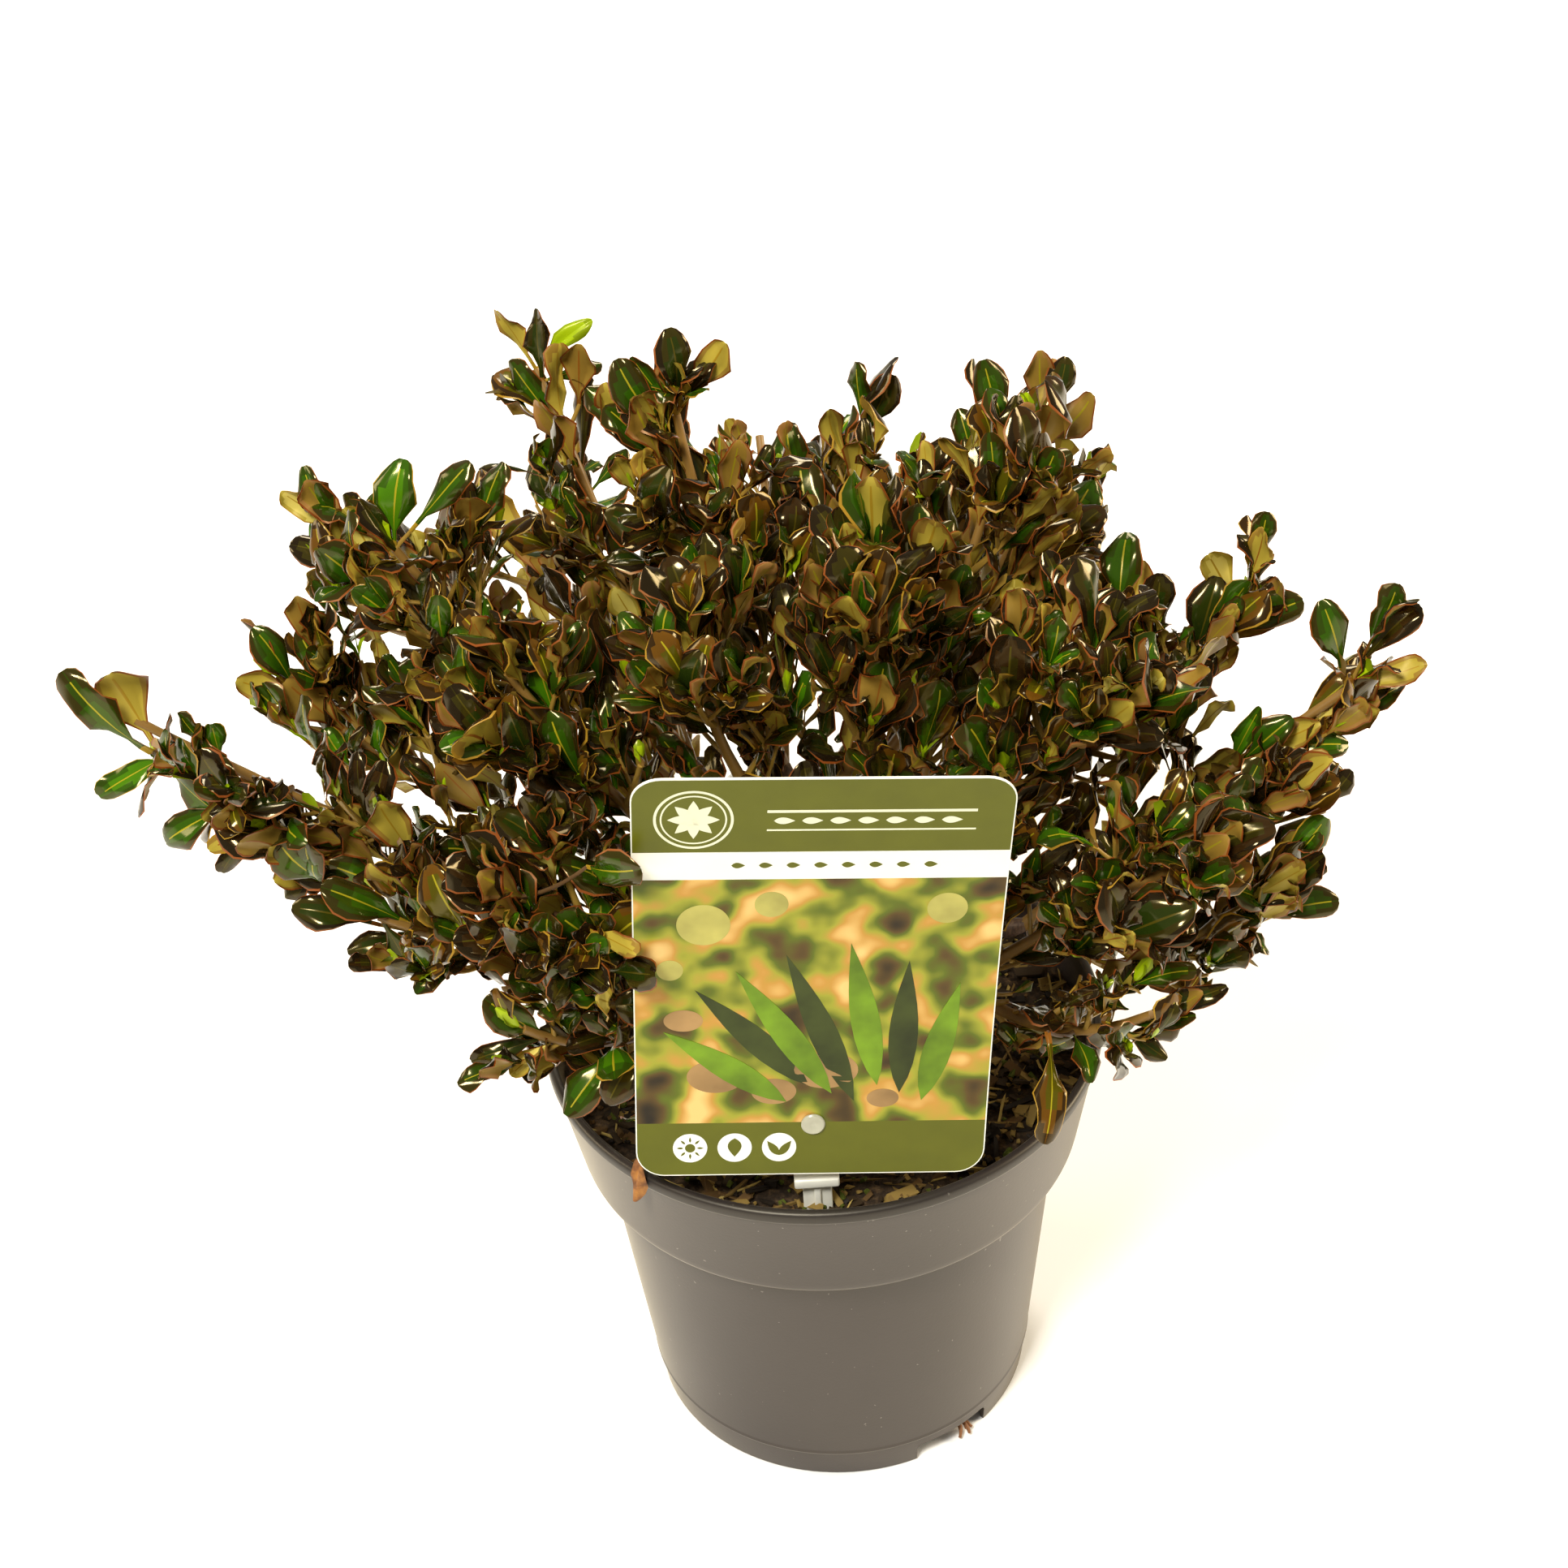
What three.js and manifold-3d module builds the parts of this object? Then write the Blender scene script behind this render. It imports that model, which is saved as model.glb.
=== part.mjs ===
// Potted mirror bush: a low, spreading evergreen shrub in a moulded nursery pot, with a
// printed card on a clear stake just inside the front of the rim. Millimetres, +Z up. The
// origin is the centre of the pot's flat underside, and the card faces -Y.
import * as THREE from 'three';
import { mergeVertices } from 'three/addons/utils/BufferGeometryUtils.js';
import Module from 'manifold-3d';

const wasm = await Module();
wasm.setup();

// Clearance between pieces that touch
const GAP = 0.3;

// Pot
const POT_HEIGHT = 158.4;
const RIM_RADIUS = 95;
const LIP_DEPTH = 5;
const LIP_OVERHANG = 1.2;
const BAND_DEPTH = 43.5;
const BAND_FOOT_RADIUS = 86.7;
const STEP_DEPTH = 7;
const STEP_RADIUS = 79.1;
const BASE_LINE_HEIGHT = 13.2;
const BASE_LINE_RADIUS = 68.7;
const FOOT_RADIUS = 66.9;
const POT_WALL = 1.8;
const LIP_WALL = 3.2;
const FLOOR_THICKNESS = 2.2;
const DISC_RADIUS = 48;
const DISC_SLANT = 2;
const GUTTER_HEIGHT = 9.4;
const DRAIN_COUNT = 3;
const DRAIN_BEARING = -57;
const DRAIN_WIDTH = 30;
const DRAIN_HEIGHT = 8;
const DRAIN_SLANT = 5;
const DRAIN_CUT_DEPTH = 10;
const DRAIN_CUT_INSIDE = 7;
const DRAIN_HOLE_RADIUS = 5;
const DRAIN_HOLE_FROM_DISC = 9;
const DRAIN_HOLE_DEPTH = 8;
const POT_SIDES = 32;
const SMALL_ROUND_SIDES = 12;

// Potting soil
const SOIL_TOP = 146;
const SOIL_EDGE_DROP = 1.5;
const SOIL_LEVEL_RADIUS = 22.5;
const SLIT_OVERSHOOT = 10;

// Trunk: a short stump that swells where the stems leave it
const TRUNK_HEIGHT = 26;
const TRUNK_FLARE_RADIUS = 15;
const TRUNK_NECK_RADIUS = 8.5;
const TRUNK_HEAD_RADIUS = 14;
const TRUNK_LEAN = 2;
const ROOT_LOBES = 5;
const ROOT_LOBE_SHARE = 0.16;
const TRUNK_RINGS = 4;
const FLARE_POWER = 3;

// Boughs, and the stem and twigs of each mass of foliage
const BOUGH_FOOT_RADIUS = 2.1;
const BOUGH_TIP_RADIUS = 1.8;
const BOUGH_SIDES = 6;
const BOUGH_RINGS = 3;
const FORK_SHARE = 0.42;
const FORK_DROOP = 8;
const ELBOW_REACH_SHARE = 0.42;
const ELBOW_RISE_SHARE = 0.58;
const KNOB_RADIUS = 5.6;
const STEM_FOOT_RADIUS = 2;
const STEM_TIP_RADIUS = 1.7;
const STEM_SIDES = 4;
const STEM_RINGS = 3;
const STEM_SPREAD = 15;
const STEM_DROOP = 9;
const TWIG_FOOT_RADIUS = 1.3;
const TWIG_TIP_RADIUS = 1.2;
const TWIG_LENGTH = 38;
const TWIG_LENGTH_AT_FOOT = 1.12;
const TWIG_LENGTH_LOSS = 0.5;
const TWIG_LENGTH_SPREAD = [0.8, 1.15];
const TWIG_NODES = [0.16, 0.42, 0.68];
const TWIG_BEARING = 45;
const TWIG_BEARING_SWING = 22;
const TWIG_OPENING = 46;
const TWIG_OPENING_SWING = 8;
const TWIG_BEND_SHARE = 0.55;
const TWIG_SIDES = 3;
const TWIG_RINGS = 2;
const TWIG_RISE = 0.26;
const SHORTEST_TWIG = 16;
const TWIG_SHRINK = 0.8;
const TWIG_POINTS = 6;
const TWIG_POINTS_IN_STEM = 2;

// Leaves: obovate, wavy, larger towards the tip of each shoot
const LEAF_LENGTH = 31;
const TIP_LEAF_LENGTH = 31;
const LEAF_LENGTH_SPREAD = [0.8, 1.1];
const LEAF_WIDTH_SHARE = 0.58;
const LEAF_WIDEST = 0.64;
const LEAF_THICKNESS = 1.4;
const LEAF_ROOT = 0.5;
const LEAF_OPENING = 52;
const TIP_LEAF_OPENING = 30;
const LEAF_OPENING_SWING = 9;
const LEAF_BEARING_SWING = 25;
const BLADE_START = 0.35;
const LEAF_ROOM = 9.5;
const MOST_LEAVES = 15;
const LEAF_SEED_STEP = 501;
const STEM_LEAF_NODES = [0.3, 0.62, 0.95];
const TWIG_LEAF_NODES = [0.5, 0.86];

// Room that each mass leaves to its neighbours, and to the pot, the soil and the card, and
// the steps in which limbs are measured for it
const SPACE_MARGIN = 1.2;
const RIM_ROOM = 9;
const CARD_ROOM = 5;
const BOUGH_POINTS = 10;
const SHOOT_POINTS = 12;

// Card, stake and rivet
const CARD_WIDTH = 110;
const CARD_HEIGHT = 156;
const CARD_THICKNESS = 0.8;
const CARD_CORNER = 9;
const CARD_BOW = 6.5;
const CARD_TILT = 4.4;
const CARD_CENTRE = new THREE.Vector3(-2, -77.5, 244.5);
const CARD_STEPS = 8;
const CORNER_STEPS = 5;
const CARD_CUT_ROOM = 5;
const CARD_CUT_DEPTH = 40;
const STAKE_X = -6;
const STAKE_WIDTH = 9.4;
const STAKE_THICKNESS = 1.6;
const STAKE_FRONT_Y = -79.2;
const STAKE_FOOT_Z = 118;
const STAKE_TOP_Z = 195;
const CROSSBAR_WIDTH = 14.5;
const CROSSBAR_HEIGHT = 4;
const CROSSBAR_DEPTH = 4.5;
const CROSSBAR_Z = 159.5;
const RIVET_Z = 186;
const RIVET_HEAD_RADIUS = 3.75;
const RIVET_HEAD_THICKNESS = 0.9;
const RIVET_SHANK_RADIUS = 1.5;
const RIVET_TAIL_RADIUS = 2.6;
const RIVET_HOLE_LENGTH = 12;

// Each bough forks into the shoots that it carries; a shoot is known by where its tip is
const BOUGHS = {
  left_low: { left_far: [-208, -2, 302], left_low: [-137, -38, 246] },
  left_back: { left_mid: [-168, 40, 283], left_up: [-152, 94, 308] },
  left_front: { left_bottom: [-94, -66, 220], left_front: [-90, -60, 268] },
  left_inner: { left_high: [-124, 30, 338], left_inner: [-90, -10, 316] },
  back_left: { top_left: [-80, 108, 354], back_left: [-110, 164, 276] },
  centre_back: { top_centre: [-34, 66, 358], back_centre: [-8, 178, 280] },
  centre: { centre_left: [-32, -14, 328], centre_right: [24, 0, 340] },
  back_low: { back_low_left: [-72, 112, 218], back_low_right: [66, 108, 210] },
  back_right: { top_mid: [27, 112, 320], top_right: [89, 120, 318] },
  right_inner: { right_high: [68, 56, 338], right_inner: [90, -14, 310] },
  right_back: { right_up: [146, 50, 278], back_right: [108, 158, 256] },
  right_low: { right_far: [172, 0, 280], right_low: [150, -26, 216] },
  right_front: { right_front: [114, -58, 262], right_bottom: [102, -68, 210] },
};

const UP = new THREE.Vector3(0, 0, 1);
const SIDEWAYS_HINT = new THREE.Vector3(0.35, 0.2, 1).normalize();

// Joining and cutting

function solidOf(geometry) {
  const bare = geometry.clone();
  bare.deleteAttribute('normal');
  bare.deleteAttribute('uv');
  const merged = mergeVertices(bare, 1e-4);
  const corners = Array.from(merged.index.array);
  const kept = [];
  for (let i = 0; i < corners.length; i += 3) {
    const [a, b, c] = corners.slice(i, i + 3);
    if (a !== b && b !== c && c !== a) kept.push(a, b, c);
  }
  return new wasm.Manifold(new wasm.Mesh({
    numProp: 3,
    vertProperties: new Float32Array(merged.attributes.position.array),
    triVerts: new Uint32Array(kept),
  }));
}

function geometryOf(solid) {
  const mesh = solid.getMesh();
  const geometry = new THREE.BufferGeometry();
  geometry.setAttribute('position', new THREE.BufferAttribute(mesh.vertProperties, 3));
  geometry.setIndex(new THREE.BufferAttribute(mesh.triVerts, 1));
  geometry.computeVertexNormals();
  return geometry;
}

// A hollow that joining has sealed and a scrap that touches nothing are both left out
function largestPiece(solid) {
  return solid.decompose().reduce((best, piece) => (piece.volume() > best.volume() ? piece : best));
}

function named(name, geometry, material) {
  const mesh = new THREE.Mesh(geometry, material);
  mesh.name = name;
  return mesh;
}

// Materials

const potPlastic = new THREE.MeshStandardMaterial({ color: 0x736a62, roughness: 0.55 });
const soilMix = new THREE.MeshStandardMaterial({ color: 0x2c2118, roughness: 0.95 });
const bark = new THREE.MeshStandardMaterial({ color: 0x5a3f28, roughness: 0.8 });
const foliage = new THREE.MeshStandardMaterial({ color: 0x37421b, roughness: 0.3 });
const cardStock = new THREE.MeshStandardMaterial({ color: 0x6e722d, roughness: 0.4 });
const clearPlastic = new THREE.MeshStandardMaterial({ color: 0xdfe2dc, roughness: 0.3 });

// Pot: one thin moulding, with a deep rim band, a stepped body and a foot that stands on a
// central disc and an outer skirt, with a gutter between them

function potProfile() {
  const lipFoot = POT_HEIGHT - LIP_DEPTH;
  const bandFoot = POT_HEIGHT - BAND_DEPTH;
  const stepFoot = bandFoot - STEP_DEPTH;
  const floor = GUTTER_HEIGHT + POT_WALL;
  return [
    [0, 0],
    [DISC_RADIUS, 0],
    [DISC_RADIUS + DISC_SLANT, GUTTER_HEIGHT],
    [FOOT_RADIUS - POT_WALL, GUTTER_HEIGHT],
    [FOOT_RADIUS - POT_WALL, 0],
    [FOOT_RADIUS, 0],
    [BASE_LINE_RADIUS, BASE_LINE_HEIGHT],
    [STEP_RADIUS, stepFoot],
    [BAND_FOOT_RADIUS, bandFoot],
    [RIM_RADIUS - LIP_OVERHANG, lipFoot],
    [RIM_RADIUS, lipFoot],
    [RIM_RADIUS, POT_HEIGHT],
    [RIM_RADIUS - LIP_WALL, POT_HEIGHT],
    [BAND_FOOT_RADIUS - POT_WALL, bandFoot],
    [STEP_RADIUS - POT_WALL, stepFoot],
    [BASE_LINE_RADIUS - POT_WALL, BASE_LINE_HEIGHT],
    [DISC_RADIUS + DISC_SLANT, floor],
    [DISC_RADIUS - POT_WALL, FLOOR_THICKNESS],
    [0, FLOOR_THICKNESS],
  ];
}

function turned(profile, sides) {
  const points = profile.map(([radius, height]) => new THREE.Vector2(radius, height));
  return new THREE.LatheGeometry(points, sides).rotateX(Math.PI / 2);
}

function pot() {
  let shell = solidOf(turned(potProfile(), POT_SIDES));
  const skirtMiddle = FOOT_RADIUS - POT_WALL / 2;
  for (let i = 0; i < DRAIN_COUNT; i += 1) {
    const turn = THREE.MathUtils.degToRad(DRAIN_BEARING + (360 * i) / DRAIN_COUNT);
    const outline = new THREE.Shape();
    outline.moveTo(-DRAIN_WIDTH / 2, -1);
    outline.lineTo(DRAIN_WIDTH / 2, -1);
    outline.lineTo(DRAIN_WIDTH / 2 - DRAIN_SLANT, DRAIN_HEIGHT);
    outline.lineTo(DRAIN_SLANT - DRAIN_WIDTH / 2, DRAIN_HEIGHT);
    const notch = new THREE.ExtrudeGeometry(outline, { depth: DRAIN_CUT_DEPTH, bevelEnabled: false });
    notch.rotateX(Math.PI / 2);
    notch.rotateZ(Math.PI / 2);
    notch.translate(skirtMiddle - DRAIN_CUT_INSIDE, 0, 0);
    notch.rotateZ(turn);
    const hole = new THREE.CylinderGeometry(
      DRAIN_HOLE_RADIUS, DRAIN_HOLE_RADIUS, DRAIN_HOLE_DEPTH, SMALL_ROUND_SIDES);
    hole.rotateX(Math.PI / 2);
    hole.translate(DISC_RADIUS + DRAIN_HOLE_FROM_DISC, 0, GUTTER_HEIGHT);
    hole.rotateZ(turn);
    shell = shell.subtract(solidOf(notch)).subtract(solidOf(hole));
  }
  return named('pot', geometryOf(shell), potPlastic);
}

// Soil: fills the pot to a little below the lip, and is slit for the stake

function soilInnerRadius(height) {
  const bandFoot = POT_HEIGHT - BAND_DEPTH;
  const share = (height - bandFoot) / BAND_DEPTH;
  const inside = THREE.MathUtils.lerp(BAND_FOOT_RADIUS - POT_WALL, RIM_RADIUS - LIP_WALL, share);
  return inside - GAP;
}

function soil() {
  const edgeHeight = SOIL_TOP - SOIL_EDGE_DROP;
  const bandFoot = POT_HEIGHT - BAND_DEPTH;
  const profile = [
    [0, FLOOR_THICKNESS + GAP],
    [DISC_RADIUS - POT_WALL - GAP, FLOOR_THICKNESS + GAP],
    [DISC_RADIUS + DISC_SLANT, GUTTER_HEIGHT + POT_WALL + GAP],
    [BASE_LINE_RADIUS - POT_WALL - 2 * GAP, BASE_LINE_HEIGHT + GAP],
    [STEP_RADIUS - POT_WALL - GAP, bandFoot - STEP_DEPTH],
    [BAND_FOOT_RADIUS - POT_WALL - GAP, bandFoot + GAP],
    [soilInnerRadius(edgeHeight), edgeHeight],
    [SOIL_LEVEL_RADIUS, SOIL_TOP],
    [0, SOIL_TOP],
  ];
  const slitTop = SOIL_TOP + SLIT_OVERSHOOT;
  const slit = new THREE.BoxGeometry(
    STAKE_WIDTH + 2 * GAP, STAKE_THICKNESS + 2 * GAP, slitTop - STAKE_FOOT_Z);
  slit.translate(
    STAKE_X, STAKE_FRONT_Y + STAKE_THICKNESS / 2, (slitTop + STAKE_FOOT_Z) / 2 - GAP);
  const body = solidOf(turned(profile, POT_SIDES)).subtract(solidOf(slit));
  return named('soil', geometryOf(body), soilMix);
}

// Limbs

// A tapering limb: the rings of a cylinder carried along a curve
function limb(curve, footRadius, tipRadius, sides, rings) {
  const shape = new THREE.CylinderGeometry(tipRadius, footRadius, 1, sides, rings);
  const place = shape.attributes.position;
  const frames = curve.computeFrenetFrames(rings, false);
  for (let i = 0; i < place.count; i += 1) {
    const ring = Math.round((place.getY(i) + 0.5) * rings);
    const point = curve.getPointAt(ring / rings);
    point.addScaledVector(frames.normals[ring], place.getX(i));
    point.addScaledVector(frames.binormals[ring], -place.getZ(i));
    place.setXYZ(i, point.x, point.y, point.z);
  }
  return shape;
}

function ball(centre, radius, detail) {
  return new THREE.IcosahedronGeometry(radius, detail).translate(centre.x, centre.y, centre.z);
}

const trunkFoot = new THREE.Vector3(0, 0, SOIL_TOP + GAP);
const trunkHead = new THREE.Vector3(TRUNK_LEAN, TRUNK_LEAN, SOIL_TOP + TRUNK_HEIGHT);

function trunkBody() {
  const shape = new THREE.CylinderGeometry(1, 1, 1, 3 * ROOT_LOBES, TRUNK_RINGS);
  const place = shape.attributes.position;
  for (let i = 0; i < place.count; i += 1) {
    const share = place.getY(i) + 0.5;
    const flare = (1 - share) ** FLARE_POWER;
    const bearing = Math.atan2(place.getZ(i), place.getX(i));
    const lobe = 1 + ROOT_LOBE_SHARE * flare * Math.cos(ROOT_LOBES * bearing);
    const radius = THREE.MathUtils.lerp(TRUNK_NECK_RADIUS, TRUNK_FLARE_RADIUS, flare) * lobe;
    const point = trunkFoot.clone().lerp(trunkHead, share);
    place.setXYZ(i, point.x + radius * place.getX(i), point.y - radius * place.getZ(i), point.z);
  }
  return solidOf(shape).add(solidOf(ball(trunkHead, TRUNK_HEAD_RADIUS, 1)));
}

function vector(place) {
  return new THREE.Vector3(...place);
}

// The plan of the crown: each bough's curve and fork, and each shoot's stem

function planCrown() {
  const boughs = [];
  const shoots = [];
  for (const [boughName, tips] of Object.entries(BOUGHS)) {
    const places = Object.values(tips).map(vector);
    const middle = new THREE.Vector3();
    places.forEach((tip) => middle.addScaledVector(tip, 1 / places.length));
    const fork = trunkHead.clone().lerp(middle, FORK_SHARE);
    fork.z -= FORK_DROOP;
    const elbow = new THREE.Vector3(
      THREE.MathUtils.lerp(trunkHead.x, fork.x, ELBOW_REACH_SHARE),
      THREE.MathUtils.lerp(trunkHead.y, fork.y, ELBOW_REACH_SHARE),
      THREE.MathUtils.lerp(trunkHead.z, fork.z, ELBOW_RISE_SHARE));
    boughs.push({
      name: boughName,
      fork,
      curve: new THREE.QuadraticBezierCurve3(trunkHead, elbow, fork),
    });
    for (const [shootName, place] of Object.entries(tips)) {
      const tip = vector(place);
      const away = tip.clone().sub(middle).normalize();
      const bend = fork.clone().lerp(tip, 0.5).addScaledVector(away, STEM_SPREAD);
      bend.z -= STEM_DROOP;
      shoots.push({
        name: shootName,
        fork,
        curve: new THREE.QuadraticBezierCurve3(fork, bend, tip),
        seed: shoots.length + 1,
        blades: [],
      });
    }
  }
  return { boughs, shoots };
}

const crown = planCrown();
crown.boughs.forEach((bough) => { bough.line = bough.curve.getPoints(BOUGH_POINTS); });
crown.shoots.forEach((shoot) => { shoot.line = shoot.curve.getPoints(SHOOT_POINTS); });

// Own space

function distanceToLine(point, line) {
  const nearest = new THREE.Vector3();
  let least = Infinity;
  for (let i = 1; i < line.length; i += 1) {
    new THREE.Line3(line[i - 1], line[i]).closestPointToPoint(point, true, nearest);
    least = Math.min(least, nearest.distanceTo(point));
  }
  return least;
}

function clearOfPotAndCard(point, room) {
  const reach = Math.hypot(point.x, point.y);
  const ground = reach < RIM_RADIUS - 2 * LIP_WALL - RIM_ROOM ? SOIL_TOP : POT_HEIGHT;
  const inCardZone = Math.abs(point.x - CARD_CENTRE.x) < CARD_WIDTH / 2 + CARD_ROOM + room
    && point.y < CARD_CENTRE.y + CARD_ROOM + room;
  return point.z > ground + RIM_ROOM + room && !inCardZone;
}

function inOwnSpace(shoot, point, room) {
  if (!clearOfPotAndCard(point, room)) return false;
  if (point.distanceTo(trunkHead) < TRUNK_HEAD_RADIUS + SPACE_MARGIN + room) return false;
  const own = distanceToLine(point, shoot.line);
  const crowded = crown.shoots.some((other) => other !== shoot
    && distanceToLine(point, other.line) < own + SPACE_MARGIN + 2 * room);
  const limbRoom = BOUGH_FOOT_RADIUS + SPACE_MARGIN + room;
  return !crowded && !crown.boughs.some((bough) => distanceToLine(point, bough.line) < limbRoom
    || point.distanceTo(bough.fork) < KNOB_RADIUS + SPACE_MARGIN + room);
}

// Growing

// A seeded run of numbers between two bounds
function dice(seed) {
  let state = (seed * 7919 + 104729) % 2147483647;
  return (low, high) => {
    state = (state * 48271) % 2147483647;
    return low + (high - low) * (state / 2147483647);
  };
}

// A direction that opens from a limb by one angle, at a bearing round it
function branchDirection(tangent, bearing, opening) {
  const side = new THREE.Vector3().crossVectors(tangent, SIDEWAYS_HINT).normalize();
  const back = new THREE.Vector3().crossVectors(side, tangent);
  const open = THREE.MathUtils.degToRad(opening);
  const turn = THREE.MathUtils.degToRad(bearing);
  return tangent.clone().multiplyScalar(Math.cos(open))
    .addScaledVector(side, Math.sin(open) * Math.cos(turn))
    .addScaledVector(back, Math.sin(open) * Math.sin(turn));
}

// Twigs leave the stem in opposite pairs, each pair a quarter turn from the last, shorter
// towards the tip, and curve upwards
function growTwigs(shoot) {
  const roll = dice(shoot.seed);
  const twigs = [];
  TWIG_NODES.forEach((share, node) => {
    for (const side of [0, 180]) {
      const swing = roll(-TWIG_BEARING_SWING, TWIG_BEARING_SWING);
      const bearing = TWIG_BEARING + 90 * node + side + swing;
      const opening = TWIG_OPENING + roll(-TWIG_OPENING_SWING, TWIG_OPENING_SWING);
      const taper = TWIG_LENGTH_AT_FOOT - TWIG_LENGTH_LOSS * share;
      const length = TWIG_LENGTH * taper * roll(...TWIG_LENGTH_SPREAD);
      const foot = shoot.curve.getPoint(share);
      const heading = branchDirection(shoot.curve.getTangent(share), bearing, opening);
      let reach = length;
      let twig = null;
      while (twig === null && reach >= SHORTEST_TWIG) {
        const bend = foot.clone().addScaledVector(heading, reach * TWIG_BEND_SHARE);
        const tip = foot.clone().addScaledVector(heading, reach)
          .addScaledVector(UP, reach * TWIG_RISE);
        const curve = new THREE.QuadraticBezierCurve3(foot, bend, tip);
        const clear = curve.getPoints(TWIG_POINTS).slice(TWIG_POINTS_IN_STEM)
          .every((point) => inOwnSpace(shoot, point, TWIG_FOOT_RADIUS));
        if (clear) twig = curve;
        reach *= TWIG_SHRINK;
      }
      if (twig !== null) twigs.push(twig);
    }
  });
  return twigs;
}

// A leaf of eight faces: root, tip, two sides, and a ridge above and below
function leafShape(root, heading, face, length) {
  const across = new THREE.Vector3().crossVectors(heading, face).normalize();
  const shape = new THREE.OctahedronGeometry(1, 0);
  const place = shape.attributes.position;
  for (let i = 0; i < place.count; i += 1) {
    const point = root.clone();
    point.addScaledVector(across, place.getX(i) * length * LEAF_WIDTH_SHARE * 0.5);
    point.addScaledVector(face, place.getZ(i) * LEAF_THICKNESS * 0.5);
    const end = Math.abs(place.getY(i)) > 0.5;
    const along = place.getY(i) > 0.5 ? length : -LEAF_ROOT;
    point.addScaledVector(heading, end ? along : length * LEAF_WIDEST);
    place.setXYZ(i, point.x, point.y, point.z);
  }
  return shape;
}

// Leaves stand in opposite pairs, with their upper faces towards the limb's tip
function growLeaves(shoot, curve, shares, roll) {
  const leaves = [];
  shares.forEach((share, node) => {
    const atTip = share === shares.at(-1);
    const tangent = curve.getTangent(share);
    for (const side of [0, 180]) {
      const bearing = 90 * node + side + roll(-LEAF_BEARING_SWING, LEAF_BEARING_SWING);
      const swing = roll(-LEAF_OPENING_SWING, LEAF_OPENING_SWING);
      const opening = (atTip ? TIP_LEAF_OPENING : LEAF_OPENING) + swing;
      const length = (atTip ? TIP_LEAF_LENGTH : LEAF_LENGTH) * roll(...LEAF_LENGTH_SPREAD);
      const heading = branchDirection(tangent, bearing, opening);
      const face = branchDirection(tangent, bearing, opening - 90);
      const root = curve.getPoint(share);
      const across = new THREE.Vector3().crossVectors(heading, face);
      const halfWidth = length * LEAF_WIDTH_SHARE * 0.5;
      const middle = root.clone().addScaledVector(heading, length * LEAF_WIDEST);
      const edges = [
        root.clone().addScaledVector(heading, length),
        middle,
        middle.clone().addScaledVector(across, halfWidth),
        middle.clone().addScaledVector(across, -halfWidth),
      ];
      const start = root.clone().addScaledVector(heading, length * BLADE_START);
      const blade = [start, middle, edges[0]];
      const free = !shoot.blades.some((other) => blade.slice(1)
        .some((point) => distanceToLine(point, other) < LEAF_ROOM));
      const wanted = free && shoot.blades.length < MOST_LEAVES;
      if (wanted && edges.every((point) => inOwnSpace(shoot, point, LEAF_THICKNESS * 0.5))) {
        shoot.blades.push(blade);
        leaves.push(leafShape(root, heading, face, length));
      }
    }
  });
  return leaves;
}

function foliageMass(shoot) {
  const roll = dice(shoot.seed + LEAF_SEED_STEP);
  const stem = limb(shoot.curve, STEM_FOOT_RADIUS, STEM_TIP_RADIUS, STEM_SIDES, STEM_RINGS);
  const pieces = [stem, ...growLeaves(shoot, shoot.curve, STEM_LEAF_NODES, roll)];
  for (const twig of growTwigs(shoot).reverse()) {
    const leaves = growLeaves(shoot, twig, TWIG_LEAF_NODES, roll);
    const bare = limb(twig, TWIG_FOOT_RADIUS, TWIG_TIP_RADIUS, TWIG_SIDES, TWIG_RINGS);
    if (leaves.length > 0) pieces.push(bare, ...leaves);
  }
  const seat = solidOf(ball(shoot.fork, KNOB_RADIUS + GAP, 0));
  const whole = pieces.map(solidOf).reduce((sum, piece) => sum.add(piece)).subtract(seat);
  return named(`foliage_${shoot.name}`, geometryOf(largestPiece(whole)), foliage);
}

function bough(plan) {
  const seat = solidOf(ball(trunkHead, TRUNK_HEAD_RADIUS + GAP, 1));
  const body = solidOf(limb(plan.curve, BOUGH_FOOT_RADIUS, BOUGH_TIP_RADIUS, BOUGH_SIDES, BOUGH_RINGS))
    .add(solidOf(ball(plan.fork, KNOB_RADIUS, 0)))
    .subtract(seat);
  return named(`bough_${plan.name}`, geometryOf(largestPiece(body)), bark);
}

// Card on its stake

function cardFaceY(share) {
  return -CARD_BOW * (2 * share - 1) ** 2;
}

// The rivet's axis stands square to the card where it passes through
const rivetShare = (RIVET_Z - (CARD_CENTRE.z - CARD_HEIGHT / 2)) / CARD_HEIGHT;
const rivetPitch = -Math.atan((4 * CARD_BOW * (1 - 2 * rivetShare)) / CARD_HEIGHT);
const rivetCentre = new THREE.Vector3(
  STAKE_X, CARD_CENTRE.y + cardFaceY(rivetShare), RIVET_Z);

function alongRivet(geometry) {
  geometry.rotateX(rivetPitch);
  return geometry.translate(rivetCentre.x, rivetCentre.y, rivetCentre.z);
}

function rivetHole() {
  const radius = RIVET_SHANK_RADIUS + GAP;
  return solidOf(alongRivet(
    new THREE.CylinderGeometry(radius, radius, RIVET_HOLE_LENGTH, SMALL_ROUND_SIDES)));
}

function roundedRectangle(width, height, corner) {
  const outline = new THREE.Shape();
  const right = width / 2 - corner;
  const top = height / 2 - corner;
  outline.absarc(right, top, corner, 0, Math.PI / 2);
  outline.absarc(-right, top, corner, Math.PI / 2, Math.PI);
  outline.absarc(-right, -top, corner, Math.PI, 1.5 * Math.PI);
  outline.absarc(right, -top, corner, 1.5 * Math.PI, 2 * Math.PI);
  return outline;
}

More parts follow.
